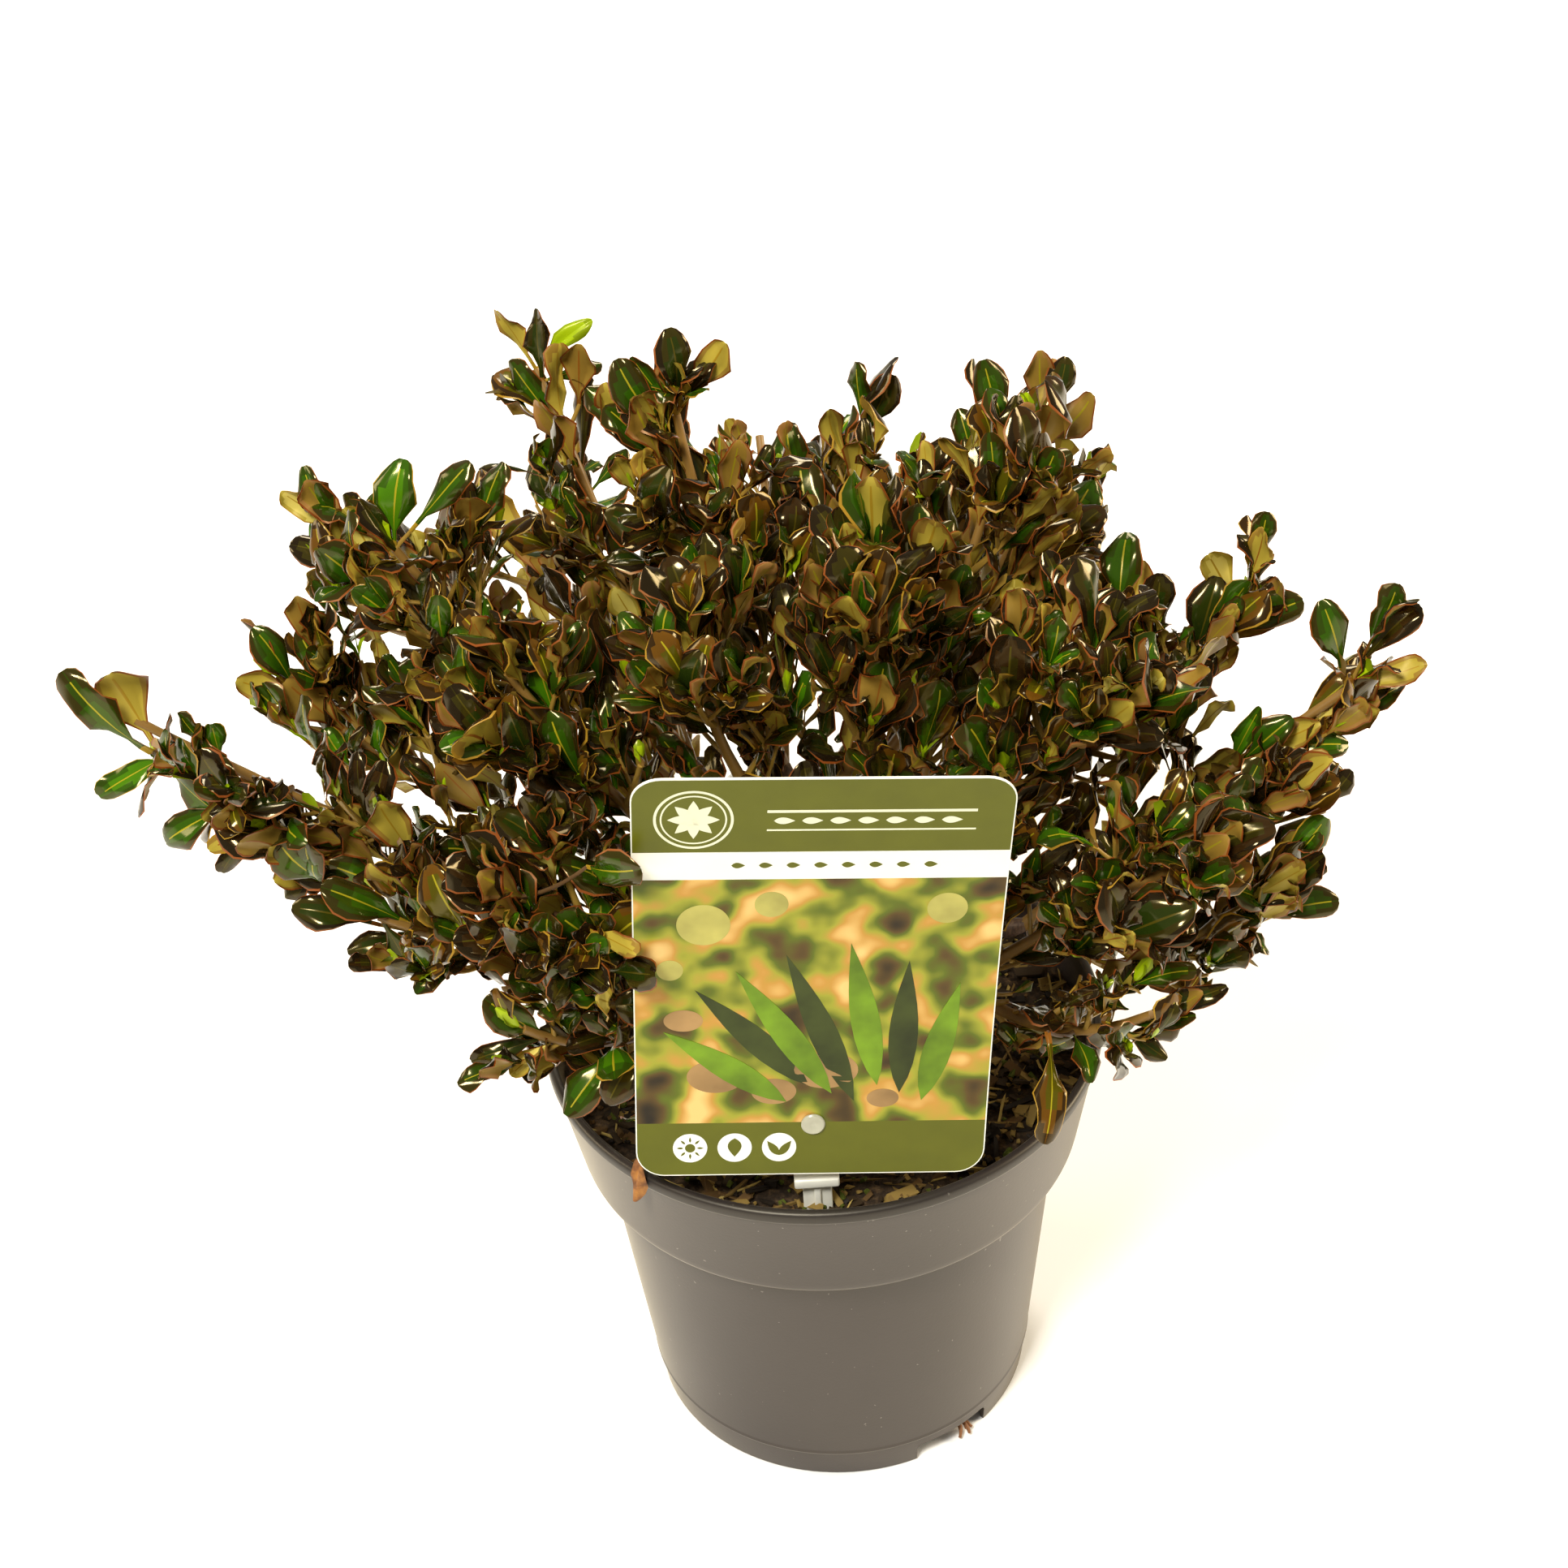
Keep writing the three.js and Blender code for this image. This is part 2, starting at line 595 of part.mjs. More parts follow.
function card() {
  const section = new THREE.Shape();
  for (let i = 0; i <= 2 * CARD_STEPS + 1; i += 1) {
    const front = i <= CARD_STEPS;
    const share = (front ? i : 2 * CARD_STEPS + 1 - i) / CARD_STEPS;
    const y = cardFaceY(share) + (front ? -0.5 : 0.5) * CARD_THICKNESS;
    const z = (share - 0.5) * CARD_HEIGHT;
    if (i === 0) section.moveTo(y, z);
    else section.lineTo(y, z);
  }
  const strip = new THREE.ExtrudeGeometry(
    section, { depth: CARD_WIDTH + 2 * CARD_CUT_ROOM, bevelEnabled: false });
  strip.translate(0, 0, -CARD_WIDTH / 2 - CARD_CUT_ROOM);
  strip.applyMatrix4(new THREE.Matrix4().makeBasis(
    new THREE.Vector3(0, 1, 0), new THREE.Vector3(0, 0, 1), new THREE.Vector3(1, 0, 0)));
  const outline = roundedRectangle(CARD_WIDTH, CARD_HEIGHT, CARD_CORNER);
  const window = new THREE.ExtrudeGeometry(
    outline, { depth: CARD_CUT_DEPTH, bevelEnabled: false, curveSegments: CORNER_STEPS });
  window.translate(0, 0, -CARD_CUT_DEPTH / 2);
  window.rotateX(Math.PI / 2);
  const flat = solidOf(strip).intersect(solidOf(window));
  const tilted = geometryOf(flat).rotateY(THREE.MathUtils.degToRad(CARD_TILT));
  tilted.translate(CARD_CENTRE.x, CARD_CENTRE.y, CARD_CENTRE.z);
  return named('label_card', geometryOf(solidOf(tilted).subtract(rivetHole())), cardStock);
}

function stake() {
  const height = STAKE_TOP_Z - STAKE_FOOT_Z;
  const bar = new THREE.BoxGeometry(STAKE_WIDTH, STAKE_THICKNESS, height);
  bar.translate(STAKE_X, STAKE_FRONT_Y + STAKE_THICKNESS / 2, STAKE_FOOT_Z + height / 2);
  const crossbar = new THREE.BoxGeometry(CROSSBAR_WIDTH, CROSSBAR_DEPTH, CROSSBAR_HEIGHT);
  crossbar.translate(
    STAKE_X, STAKE_FRONT_Y + STAKE_THICKNESS - CROSSBAR_DEPTH / 2, CROSSBAR_Z);
  const body = solidOf(bar).add(solidOf(crossbar)).subtract(rivetHole());
  return named('label_stake', geometryOf(body), clearPlastic);
}

function rivet() {
  const head = CARD_THICKNESS / 2 + GAP;
  const tail = STAKE_FRONT_Y + STAKE_THICKNESS - rivetCentre.y + 2 * GAP;
  const profile = [
    [0, -head - RIVET_HEAD_THICKNESS],
    [RIVET_HEAD_RADIUS, -head - RIVET_HEAD_THICKNESS],
    [RIVET_HEAD_RADIUS, -head],
    [RIVET_SHANK_RADIUS, -head],
    [RIVET_SHANK_RADIUS, tail],
    [RIVET_TAIL_RADIUS, tail],
    [RIVET_TAIL_RADIUS, tail + RIVET_HEAD_THICKNESS],
    [0, tail + RIVET_HEAD_THICKNESS],
  ];
  const points = profile.map(([radius, depth]) => new THREE.Vector2(radius, depth));
  const shape = new THREE.LatheGeometry(points, SMALL_ROUND_SIDES);
  return named('label_rivet', geometryOf(solidOf(alongRivet(shape))), clearPlastic);
}

const plant = new THREE.Group();
plant.add(pot());
plant.add(soil());
plant.add(named('trunk', geometryOf(trunkBody()), bark));
crown.boughs.forEach((plan) => plant.add(bough(plan)));
crown.shoots.forEach((shoot) => plant.add(foliageMass(shoot)));
plant.add(card());
plant.add(stake());
plant.add(rivet());

export default plant;
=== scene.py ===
# Potted mirror bush: a low evergreen shrub with glossy wavy leaves, in a nursery pot, with a
# printed card on a clear stake. Metres, +Z up, the pot's underside centred on the origin.
import math

import bmesh
import bpy
import numpy as np
from mathutils import Matrix, Vector, noise


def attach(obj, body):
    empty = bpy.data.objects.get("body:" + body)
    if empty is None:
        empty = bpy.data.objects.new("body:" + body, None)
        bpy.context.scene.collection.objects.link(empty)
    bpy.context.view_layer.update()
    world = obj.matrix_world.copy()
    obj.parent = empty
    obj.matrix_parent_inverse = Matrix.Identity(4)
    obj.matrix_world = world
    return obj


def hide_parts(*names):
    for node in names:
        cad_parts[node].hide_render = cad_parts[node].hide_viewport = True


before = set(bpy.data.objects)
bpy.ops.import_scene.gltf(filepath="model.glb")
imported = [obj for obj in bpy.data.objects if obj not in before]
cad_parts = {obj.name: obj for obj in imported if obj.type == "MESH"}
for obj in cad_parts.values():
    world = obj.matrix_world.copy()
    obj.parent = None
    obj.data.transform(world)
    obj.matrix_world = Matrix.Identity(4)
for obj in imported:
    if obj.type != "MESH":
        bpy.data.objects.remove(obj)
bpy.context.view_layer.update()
MM = 0.001

# Camera: stands in front of the plant and well above it, and looks down on the crown, with a
# slight roll to the left.
EYE = Vector((-7.8, -781.6, 861.0)) * MM
DOWNWARD_TILT = 37.65
ROLL = -3.92
LENS = 70.72
lens = bpy.data.cameras.new("view")
lens.lens = LENS
lens.sensor_width = 36
camera = bpy.data.objects.new("view", lens)
bpy.context.collection.objects.link(camera)
camera.matrix_world = (
    Matrix.Translation(EYE)
    @ Matrix.Rotation(math.radians(90 - DOWNWARD_TILT), 4, "X")
    @ Matrix.Rotation(math.radians(ROLL), 4, "Z")
)
bpy.context.scene.camera = camera
bpy.context.scene.view_settings.view_transform = "Standard"

# Studio: a near-white floor in even warm light, with one broad lamp high in front, a weaker one
# on each side and one behind, so that edges gleam and shadows stay soft.
FLOOR_SIZE = 6.0
FLOOR_WHITE = (0.92, 0.92, 0.92)
AMBIENT = (1, 0.94, 0.8, 1)
AMBIENT_STRENGTH = 0.27
LAMP_AIM = Vector((0, 0, 0.2))
WARM = (1, 0.86, 0.64)
# Each lamp's place, power in watts, size and colour
LAMPS = {
    "key": ((-0.5, -1.1, 1.9), 52, 0.5, (1, 0.98, 0.92)),
    "left": ((-1.5, 0.25, 0.9), 12, 0.7, WARM),
    "right": ((1.5, 0.25, 0.9), 32, 0.7, WARM),
    "rear": ((-0.2, 1.4, 1.6), 24, 0.7, (1, 0.95, 0.84)),
}


def shader_of(material):
    return material.node_tree.nodes["Principled BSDF"]


def plain(name, colour, roughness):
    material = bpy.data.materials.new(name)
    material.use_nodes = True
    shader_of(material).inputs["Base Color"].default_value = (*colour, 1)
    shader_of(material).inputs["Roughness"].default_value = roughness
    return material


def smooth(mesh, sharp_angle):
    """Rounds a mesh's shading, except where its faces meet at more than an angle in degrees"""
    mesh.polygons.foreach_set("use_smooth", [True] * len(mesh.polygons))
    mesh.set_sharp_from_angle(angle=math.radians(sharp_angle))


def mesh_of(form, name, sharp_angle=None):
    """A finished form as a mesh, with flat faces unless an angle is given"""
    mesh = bpy.data.meshes.new(name)
    form.to_mesh(mesh)
    form.free()
    if sharp_angle:
        smooth(mesh, sharp_angle)
    return mesh


def show(name, mesh, *materials):
    piece = bpy.data.objects.new(name, mesh)
    bpy.context.collection.objects.link(piece)
    for material in materials:
        mesh.materials.append(material)
    return piece


form = bmesh.new()
bmesh.ops.create_grid(form, x_segments=1, y_segments=1, size=FLOOR_SIZE / 2)
floor = show("floor", mesh_of(form, "floor"), plain("floor_white", FLOOR_WHITE, 0.9))

world = bpy.data.worlds.new("studio")
bpy.context.scene.world = world
world.use_nodes = True
world.node_tree.nodes["Background"].inputs["Color"].default_value = AMBIENT
world.node_tree.nodes["Background"].inputs["Strength"].default_value = AMBIENT_STRENGTH
for name, (place, power, size, colour) in LAMPS.items():
    light = bpy.data.lights.new(name, "AREA")
    light.energy = power
    light.size = size
    light.color = colour
    lamp = bpy.data.objects.new(name, light)
    bpy.context.collection.objects.link(lamp)
    lamp.location = place
    lamp.rotation_euler = (LAMP_AIM - Vector(place)).to_track_quat("-Z", "Y").to_euler()


# Pot: one thin injection moulding in warm grey plastic, semi-matt, with a rolled lip, a deep
# rim band, a step, and a foot with three drain notches and holes. Dust has settled on it.
POT_HEIGHT = 158.4
RIM_RADIUS = 95.0
LIP_DEPTH = 5.0
LIP_OVERHANG = 1.2
BAND_DEPTH = 43.5
BAND_FOOT_RADIUS = 86.7
STEP_DEPTH = 7.0
STEP_RADIUS = 79.1
BASE_LINE_HEIGHT = 13.2
BASE_LINE_RADIUS = 68.7
FOOT_RADIUS = 66.9
POT_WALL = 1.8
LIP_WALL = 3.2
FLOOR_THICKNESS = 2.2
DISC_RADIUS = 48.0
GUTTER_HEIGHT = 9.4
DRAIN_BEARINGS = (-57, 63, 183)
DRAIN_DEPTH = 14.0
DRAIN_WIDTH = 30.0
DRAIN_HEIGHT = 8.0
DRAIN_ROUNDING = 2.0
DRAIN_HOLE_RADIUS = 5.0
DRAIN_HOLE_DEPTH = 8.0
DRAIN_HOLE_FROM_DISC = 9.0
POT_STEPS = 144
POT_GREY = (0.0335, 0.0255, 0.0255)
POT_DUST = (0.17, 0.15, 0.13, 1)
# Painted shade: the share of its colour that the rolled lip keeps, darkened to stand in for the shade on
# it
PAINTED_LIP_SHADE = (0.45, 0.45, 0.45)


def turned(profile, steps):
    """A closed profile of (radius, height) points, spun into a solid about +Z"""
    form = bmesh.new()
    corners = [form.verts.new((radius * MM, 0, height * MM)) for radius, height in profile]
    edges = [form.edges.new(pair) for pair in zip(corners, corners[1:])]
    if profile[0][0] > 0:
        edges.append(form.edges.new((corners[-1], corners[0])))
    bmesh.ops.spin(
        form, geom=corners + edges, cent=(0, 0, 0), axis=(0, 0, 1), angle=math.tau,
        steps=steps, use_merge=True, use_duplicate=False)
    bmesh.ops.remove_doubles(form, verts=form.verts, dist=0.00001)
    bmesh.ops.recalc_face_normals(form, faces=form.faces)
    return form


def rounded(corner, before, after, size, steps=4):
    """The points of a small arc that takes a profile's corner off"""
    corner, before, after = Vector(corner), Vector(before), Vector(after)
    start = corner + (before - corner).normalized() * size
    end = corner + (after - corner).normalized() * size
    points = []
    for i in range(steps + 1):
        share = i / steps
        point = start * (1 - share) ** 2 + corner * 2 * share * (1 - share) + end * share ** 2
        points.append(tuple(point))
    return points


def pot_profile():
    """Corners from under the pot's middle, out, up and back inside, each with its rounding"""
    lip_foot = POT_HEIGHT - LIP_DEPTH
    band_foot = POT_HEIGHT - BAND_DEPTH
    step_foot = band_foot - STEP_DEPTH
    corners = [
        ((0, 0), 0), ((DISC_RADIUS, 0), 0.8), ((DISC_RADIUS + 2, GUTTER_HEIGHT), 0.8),
        ((FOOT_RADIUS - POT_WALL, GUTTER_HEIGHT), 0.6), ((FOOT_RADIUS - POT_WALL, 0), 0.5),
        ((FOOT_RADIUS, 0), 0.8), ((BASE_LINE_RADIUS - 0.5, BASE_LINE_HEIGHT - 1.6), 0.3),
        ((BASE_LINE_RADIUS + 0.25, BASE_LINE_HEIGHT - 0.6), 0.3),
        ((BASE_LINE_RADIUS + 0.1, BASE_LINE_HEIGHT + 0.8), 0.3),
        ((STEP_RADIUS - 0.2, step_foot - 1.0), 0.4), ((STEP_RADIUS + 0.35, step_foot + 0.2), 0.4),
        ((STEP_RADIUS + 0.9, step_foot + 2.6), 1.2), ((BAND_FOOT_RADIUS - 0.2, band_foot - 0.5), 1.6),
        ((BAND_FOOT_RADIUS + 0.5, band_foot + 2.4), 1.2), ((RIM_RADIUS - LIP_OVERHANG, lip_foot), 0.5),
        ((RIM_RADIUS, lip_foot + 0.4), 1.2), ((RIM_RADIUS, POT_HEIGHT), 2.0),
        ((RIM_RADIUS - LIP_WALL, POT_HEIGHT), 1.0), ((RIM_RADIUS - LIP_WALL - 1.2, lip_foot - 2), 1.5),
        ((BAND_FOOT_RADIUS - POT_WALL, band_foot), 1), ((STEP_RADIUS - POT_WALL, step_foot), 1),
        ((BASE_LINE_RADIUS - POT_WALL, BASE_LINE_HEIGHT), 1),
        ((DISC_RADIUS + 2, GUTTER_HEIGHT + POT_WALL), 1), ((DISC_RADIUS - POT_WALL, FLOOR_THICKNESS), 1),
        ((0, FLOOR_THICKNESS), 0),
    ]
    points = []
    for i, (corner, size) in enumerate(corners):
        if size == 0:
            points.append(corner)
        else:
            points += rounded(corner, corners[i - 1][0], corners[i + 1][0], size)
    return points


def cut(piece, tools):
    """Takes the tools' shapes out of the piece, and removes them"""
    for tool in tools:
        gap = piece.modifiers.new("cut", "BOOLEAN")
        gap.operation = "DIFFERENCE"
        gap.solver = "EXACT"
        gap.object = tool
    made = bpy.data.meshes.new_from_object(
        piece.evaluated_get(bpy.context.evaluated_depsgraph_get()))
    piece.modifiers.clear()
    piece.data = made
    for tool in tools:
        bpy.data.objects.remove(tool)


def drain_tools():
    """What is cut out for the drainage: a notch in the foot and a hole above it, three times"""
    tools = []
    for bearing in DRAIN_BEARINGS:
        turn = Matrix.Rotation(math.radians(bearing), 4, "Z")
        form = bmesh.new()
        notch_at = Matrix.Translation((FOOT_RADIUS * MM, 0, 0))
        notch_size = Matrix.Diagonal((DRAIN_DEPTH * MM, DRAIN_WIDTH * MM, 2 * DRAIN_HEIGHT * MM, 1))
        bmesh.ops.create_cube(form, size=1, matrix=turn @ notch_at @ notch_size)
        bmesh.ops.bevel(
            form, geom=form.edges, offset=DRAIN_ROUNDING * MM, offset_type="OFFSET", segments=3,
            profile=0.5, affect="EDGES", material=-1)
        hole_at = Matrix.Translation(
            ((DISC_RADIUS + DRAIN_HOLE_FROM_DISC) * MM, 0, GUTTER_HEIGHT * MM))
        bmesh.ops.create_cone(
            form, cap_ends=True, segments=24, radius1=DRAIN_HOLE_RADIUS * MM,
            radius2=DRAIN_HOLE_RADIUS * MM, depth=DRAIN_HOLE_DEPTH * MM, matrix=turn @ hole_at)
        tools.append(show("drain", mesh_of(form, "drain")))
    return tools


def textured(name, colour, roughness):
    """A material with its node tree, its shader and its place on the object, ready to use"""
    material = plain(name, colour, roughness)
    tree = material.node_tree
    place = tree.nodes.new("ShaderNodeTexCoord")
    return material, tree, shader_of(material), place.outputs["Object"]


def speckle(tree, place, scale, detail=2.0, roughness=0.5):
    grain = tree.nodes.new("ShaderNodeTexNoise")
    grain.inputs["Scale"].default_value = scale
    grain.inputs["Detail"].default_value = detail
    grain.inputs["Roughness"].default_value = roughness
    tree.links.new(place, grain.inputs["Vector"])
    return grain.outputs["Fac"]


def ramp(tree, value, stops):
    """A colour ramp from (position, colour) stops"""
    band = tree.nodes.new("ShaderNodeValToRGB")
    steps = band.color_ramp.elements
    while len(steps) < len(stops):
        steps.new(0.5)
    for step, (position, colour) in zip(steps, stops):
        step.position = position
        step.color = (*colour, 1)
    tree.links.new(value, band.inputs["Fac"])
    return band.outputs["Color"]


def relief(tree, shader, height, strength, distance):
    bump = tree.nodes.new("ShaderNodeBump")
    bump.inputs["Strength"].default_value = strength
    bump.inputs["Distance"].default_value = distance
    tree.links.new(height, bump.inputs["Height"])
    tree.links.new(bump.outputs["Normal"], shader.inputs["Normal"])


def pot_plastic():
    material, tree, shader, place = textured("pot_plastic", POT_GREY, 0.42)
    cloud = speckle(tree, place, scale=22, detail=4.0, roughness=0.6)
    tint = ramp(tree, cloud, [
        (0.35, tuple(c * 0.93 for c in POT_GREY)), (0.7, tuple(c * 1.08 for c in POT_GREY))])
    dust = speckle(tree, place, scale=520, detail=1.0)
    dusty = tree.nodes.new("ShaderNodeMix")
    dusty.data_type = "RGBA"
    dusty.inputs["B"].default_value = POT_DUST
    tree.links.new(ramp(tree, dust, [(0.775, (0, 0, 0)), (0.8, (1, 1, 1))]), dusty.inputs["Factor"])
    tree.links.new(tint, dusty.inputs["A"])
    axes = tree.nodes.new("ShaderNodeSeparateXYZ")
    tree.links.new(place, axes.inputs["Vector"])
    height = tree.nodes.new("ShaderNodeMath")
    height.operation = "DIVIDE"
    height.inputs[1].default_value = POT_HEIGHT * MM
    tree.links.new(axes.outputs["Z"], height.inputs[0])
    # The lip above its foot is painted darker, as painted shade, by multiplying the dusty colour
    lip_share = 1 - LIP_DEPTH / POT_HEIGHT
    lip = ramp(tree, height.outputs["Value"], [
        (lip_share - 0.004, (1, 1, 1)), (lip_share, PAINTED_LIP_SHADE)])
    with_lip_shade = tree.nodes.new("ShaderNodeMix")
    with_lip_shade.data_type = "RGBA"
    with_lip_shade.blend_type = "MULTIPLY"
    with_lip_shade.inputs["Factor"].default_value = 1
    tree.links.new(dusty.outputs["Result"], with_lip_shade.inputs["A"])
    tree.links.new(lip, with_lip_shade.inputs["B"])
    tree.links.new(with_lip_shade.outputs["Result"], shader.inputs["Base Color"])
    shader.inputs["Specular IOR Level"].default_value = 0.55
    shader.inputs["Specular Tint"].default_value = (1, 0.92, 0.74, 1)
    shader.inputs["Sheen Weight"].default_value = 0.3
    shader.inputs["Sheen Roughness"].default_value = 0.3
    shader.inputs["Sheen Tint"].default_value = (1, 0.84, 0.55, 1)
    grain = speckle(tree, place, scale=900, detail=2.0)
    relief(tree, shader, grain, strength=0.12, distance=0.0002)
    return material


pot = show("pot_shell", mesh_of(turned(pot_profile(), POT_STEPS), "pot_shell"))
cut(pot, drain_tools())
smooth(pot.data, sharp_angle=40)
pot.data.materials.clear()
pot.data.materials.append(pot_plastic())
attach(pot, "root")
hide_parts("pot")


# Potting mix: damp peat with composted bark, straw and a little moss, filled to just below the
# lip. The body is one lump, and chips and straws lie loose on its top.
SOIL_TOP = 146.0
SOIL_EDGE_DROP = 1.5
SOIL_SLACK = 0.3
SOIL_ROUGHNESS = 1.3
SOIL_STEPS = 96
SOIL_RINGS = 44
SOIL_EDGE_RINGS = 20
LUMP_SCALE = 0.16
HEAVE_SCALE = 0.05
HEAVE_SHARE = 0.4
SOIL_BROWN = (0.03, 0.02, 0.012)
LITTER_EDGE = 3.0
LITTER_RISE = 0.4
# Each kind's seed, count, steepest tilt, number of colours, and the bits' lengths, widths and heights
CHIPS = (11, 620, 26, 4, [(6, 2.6, 1), (9, 3, 1.2), (5, 4, 1.4), (12, 2.2, 1), (4, 3, 1.6)])
STRAWS = (23, 210, 16, 2, [(13, 0.8, 0.6), (18, 0.7, 0.5), (9, 1.1, 0.5)])
CRUMBS = (37, 900, 50, 5, [(2.2, 1.8, 1.4), (1.4, 1.3, 1.1), (3, 1.6, 1.2)])


def paint(red, green, blue):
    """Linear colour of an sRGB colour in 0..255"""
    return tuple(
        c / 12.92 if c <= 0.04045 else ((c + 0.055) / 1.055) ** 2.4
        for c in (red / 255, green / 255, blue / 255))


def dice(seed):
    """A seeded run of numbers between two bounds"""
    state = (seed * 7919 + 104729) % 2147483647

    def roll(low, high):
        nonlocal state
        state = (state * 48271) % 2147483647
        return low + (high - low) * (state / 2147483647)
    return roll


def soil_profile():
    """The lump's outline from below its middle, out, up and over the top, and its top's radius"""
    band_foot = POT_HEIGHT - BAND_DEPTH
    edge = SOIL_TOP - SOIL_EDGE_DROP
    share = (edge - band_foot) / BAND_DEPTH
    edge_radius = (BAND_FOOT_RADIUS - POT_WALL) * (1 - share) + (RIM_RADIUS - LIP_WALL) * share
    edge_radius -= SOIL_SLACK
    top = [
        (edge_radius * (1 - i / SOIL_RINGS), edge + SOIL_EDGE_DROP * min(1, i / SOIL_EDGE_RINGS))
        for i in range(SOIL_RINGS)]
    return [
        (0, FLOOR_THICKNESS + SOIL_SLACK), (DISC_RADIUS - 2.5, FLOOR_THICKNESS + SOIL_SLACK),
        (DISC_RADIUS + 2, GUTTER_HEIGHT + POT_WALL + SOIL_SLACK),
        (BASE_LINE_RADIUS - POT_WALL - 0.6, BASE_LINE_HEIGHT + SOIL_SLACK),
        (STEP_RADIUS - POT_WALL - 0.5, band_foot - STEP_DEPTH),
        (BAND_FOOT_RADIUS - POT_WALL - 0.5, band_foot + SOIL_SLACK),
        *top, (0, SOIL_TOP),
    ], edge_radius


def potting_mix():
    material, tree, shader, place = textured("potting_mix", SOIL_BROWN, 0.9)
    colour = ramp(tree, speckle(tree, place, scale=260, detail=5.0, roughness=0.7), [
        (0.3, (0.008, 0.005, 0.003)), (0.5, (0.032, 0.02, 0.011)), (0.62, (0.075, 0.046, 0.022)),
        (0.8, (0.2, 0.125, 0.055))])
    tree.links.new(colour, shader.inputs["Base Color"])
    shader.inputs["Specular IOR Level"].default_value = 0.2
    crumbs = tree.nodes.new("ShaderNodeTexVoronoi")
    crumbs.inputs["Scale"].default_value = 420
    tree.links.new(place, crumbs.inputs["Vector"])
    relief(tree, shader, crumbs.outputs["Distance"], strength=0.7, distance=0.0012)
    return material


soil_points, soil_radius = soil_profile()
form = turned(soil_points, SOIL_STEPS)
for vert in form.verts:
    if vert.co.z > (SOIL_TOP - 2 * SOIL_EDGE_DROP) * MM:
        spot = vert.co / MM
        lumps = noise.fractal(spot * LUMP_SCALE, 0.9, 2.1, 4)
        rise = lumps + HEAVE_SHARE * noise.noise(spot * HEAVE_SCALE)
        vert.co.z += SOIL_ROUGHNESS * rise * MM
soil = show("potting_soil", mesh_of(form, "potting_soil", sharp_angle=50), potting_mix())
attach(soil, "root")
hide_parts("soil")


def arrays_of(form):
    """A small shape's corners, faces and the colour zone of each face, as arrays"""
    form.verts.index_update()
    corners = np.array([vert.co[:] for vert in form.verts])
    faces = [[vert.index for vert in face.verts] for face in form.faces]
    zones = np.array([face.material_index for face in form.faces])
    form.free()
    return corners, faces, zones


def joined(name, parts, materials, sharp_angle=None):
    """One mesh from many (corners, faces, materials' numbers) parts, each already in place"""
    corners, faces, slots, start = [], [], [], 0
    for part_corners, part_faces, part_slots in parts:
        corners.append(part_corners)
        faces += [[start + corner for corner in face] for face in part_faces]
        slots.append(part_slots)
        start += len(part_corners)
    mesh = bpy.data.meshes.new(name)
    mesh.from_pydata((np.concatenate(corners) * MM).tolist(), [], faces)
    mesh.polygons.foreach_set("material_index", np.concatenate(slots).astype(np.int32))
    mesh.update()
    if sharp_angle:
        smooth(mesh, sharp_angle)
    return show(name, mesh, *materials)


def chip_shape(seed, size):
    """A split flake of bark: a box with its corners knocked about"""
    roll = dice(seed)
    form = bmesh.new()
    bmesh.ops.create_cube(form, size=1)
    for vert in form.verts:
        vert.co = [axis * length * roll(0.55, 1.25) for axis, length in zip(vert.co, size)]
    return arrays_of(form)


def damp(name, colour, roughness):
    """A dull material for damp litter"""
    material = plain(name, paint(*colour), roughness)
    shader_of(material).inputs["Specular IOR Level"].default_value = 0.2
    return material


def turn_about(roll, tilt):
    """A random turn that lies nearly flat, tilted by up to some degrees"""
    turn = Matrix.Rotation(roll(0, math.tau), 3, "Z")
    turn @= Matrix.Rotation(math.radians(roll(-tilt, tilt)), 3, "X")
    return np.array(turn @ Matrix.Rotation(math.radians(roll(-tilt, tilt)), 3, "Y"))


def litter(seed, count, tilt, colours, sizes):
    """Loose bits, dealt evenly over the soil, each lying on its top"""
    roll = dice(seed)
    shapes = [chip_shape(seed + i, size) for i, size in enumerate(sizes)]
    parts = []
    for i in range(count):
        corners, faces, zones = shapes[i % len(shapes)]
        reach = (soil_radius - LITTER_EDGE) * math.sqrt(roll(0.02, 1))
        bearing = roll(0, math.tau)
        spot = (reach * math.cos(bearing), reach * math.sin(bearing), SOIL_TOP + LITTER_RISE)
        scale = roll(0.6, 1.3)
        placed = corners @ turn_about(roll, tilt).T * scale + spot
        parts.append((placed, faces, np.full(len(faces), int(roll(0, colours - 0.001)))))
    return parts


chip_colours = [
    damp("bark_chip_dark", (46, 34, 18), 0.8), damp("bark_chip_brown", (84, 62, 32), 0.8),
    damp("bark_chip_khaki", (122, 100, 50), 0.75), damp("bark_chip_black", (28, 21, 13), 0.7),
    damp("moss_green", (70, 78, 22), 0.9),
]
straw_colours = [damp("straw_pale", (158, 136, 74), 0.6), damp("straw_brown", (108, 86, 44), 0.7)]
for name, kind, colours in (("bark_chips", CHIPS, chip_colours), ("straws", STRAWS, straw_colours),
                            ("peat_crumbs", CRUMBS, chip_colours)):
    bits = joined(name, litter(*kind), colours)
    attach(bits, "root")


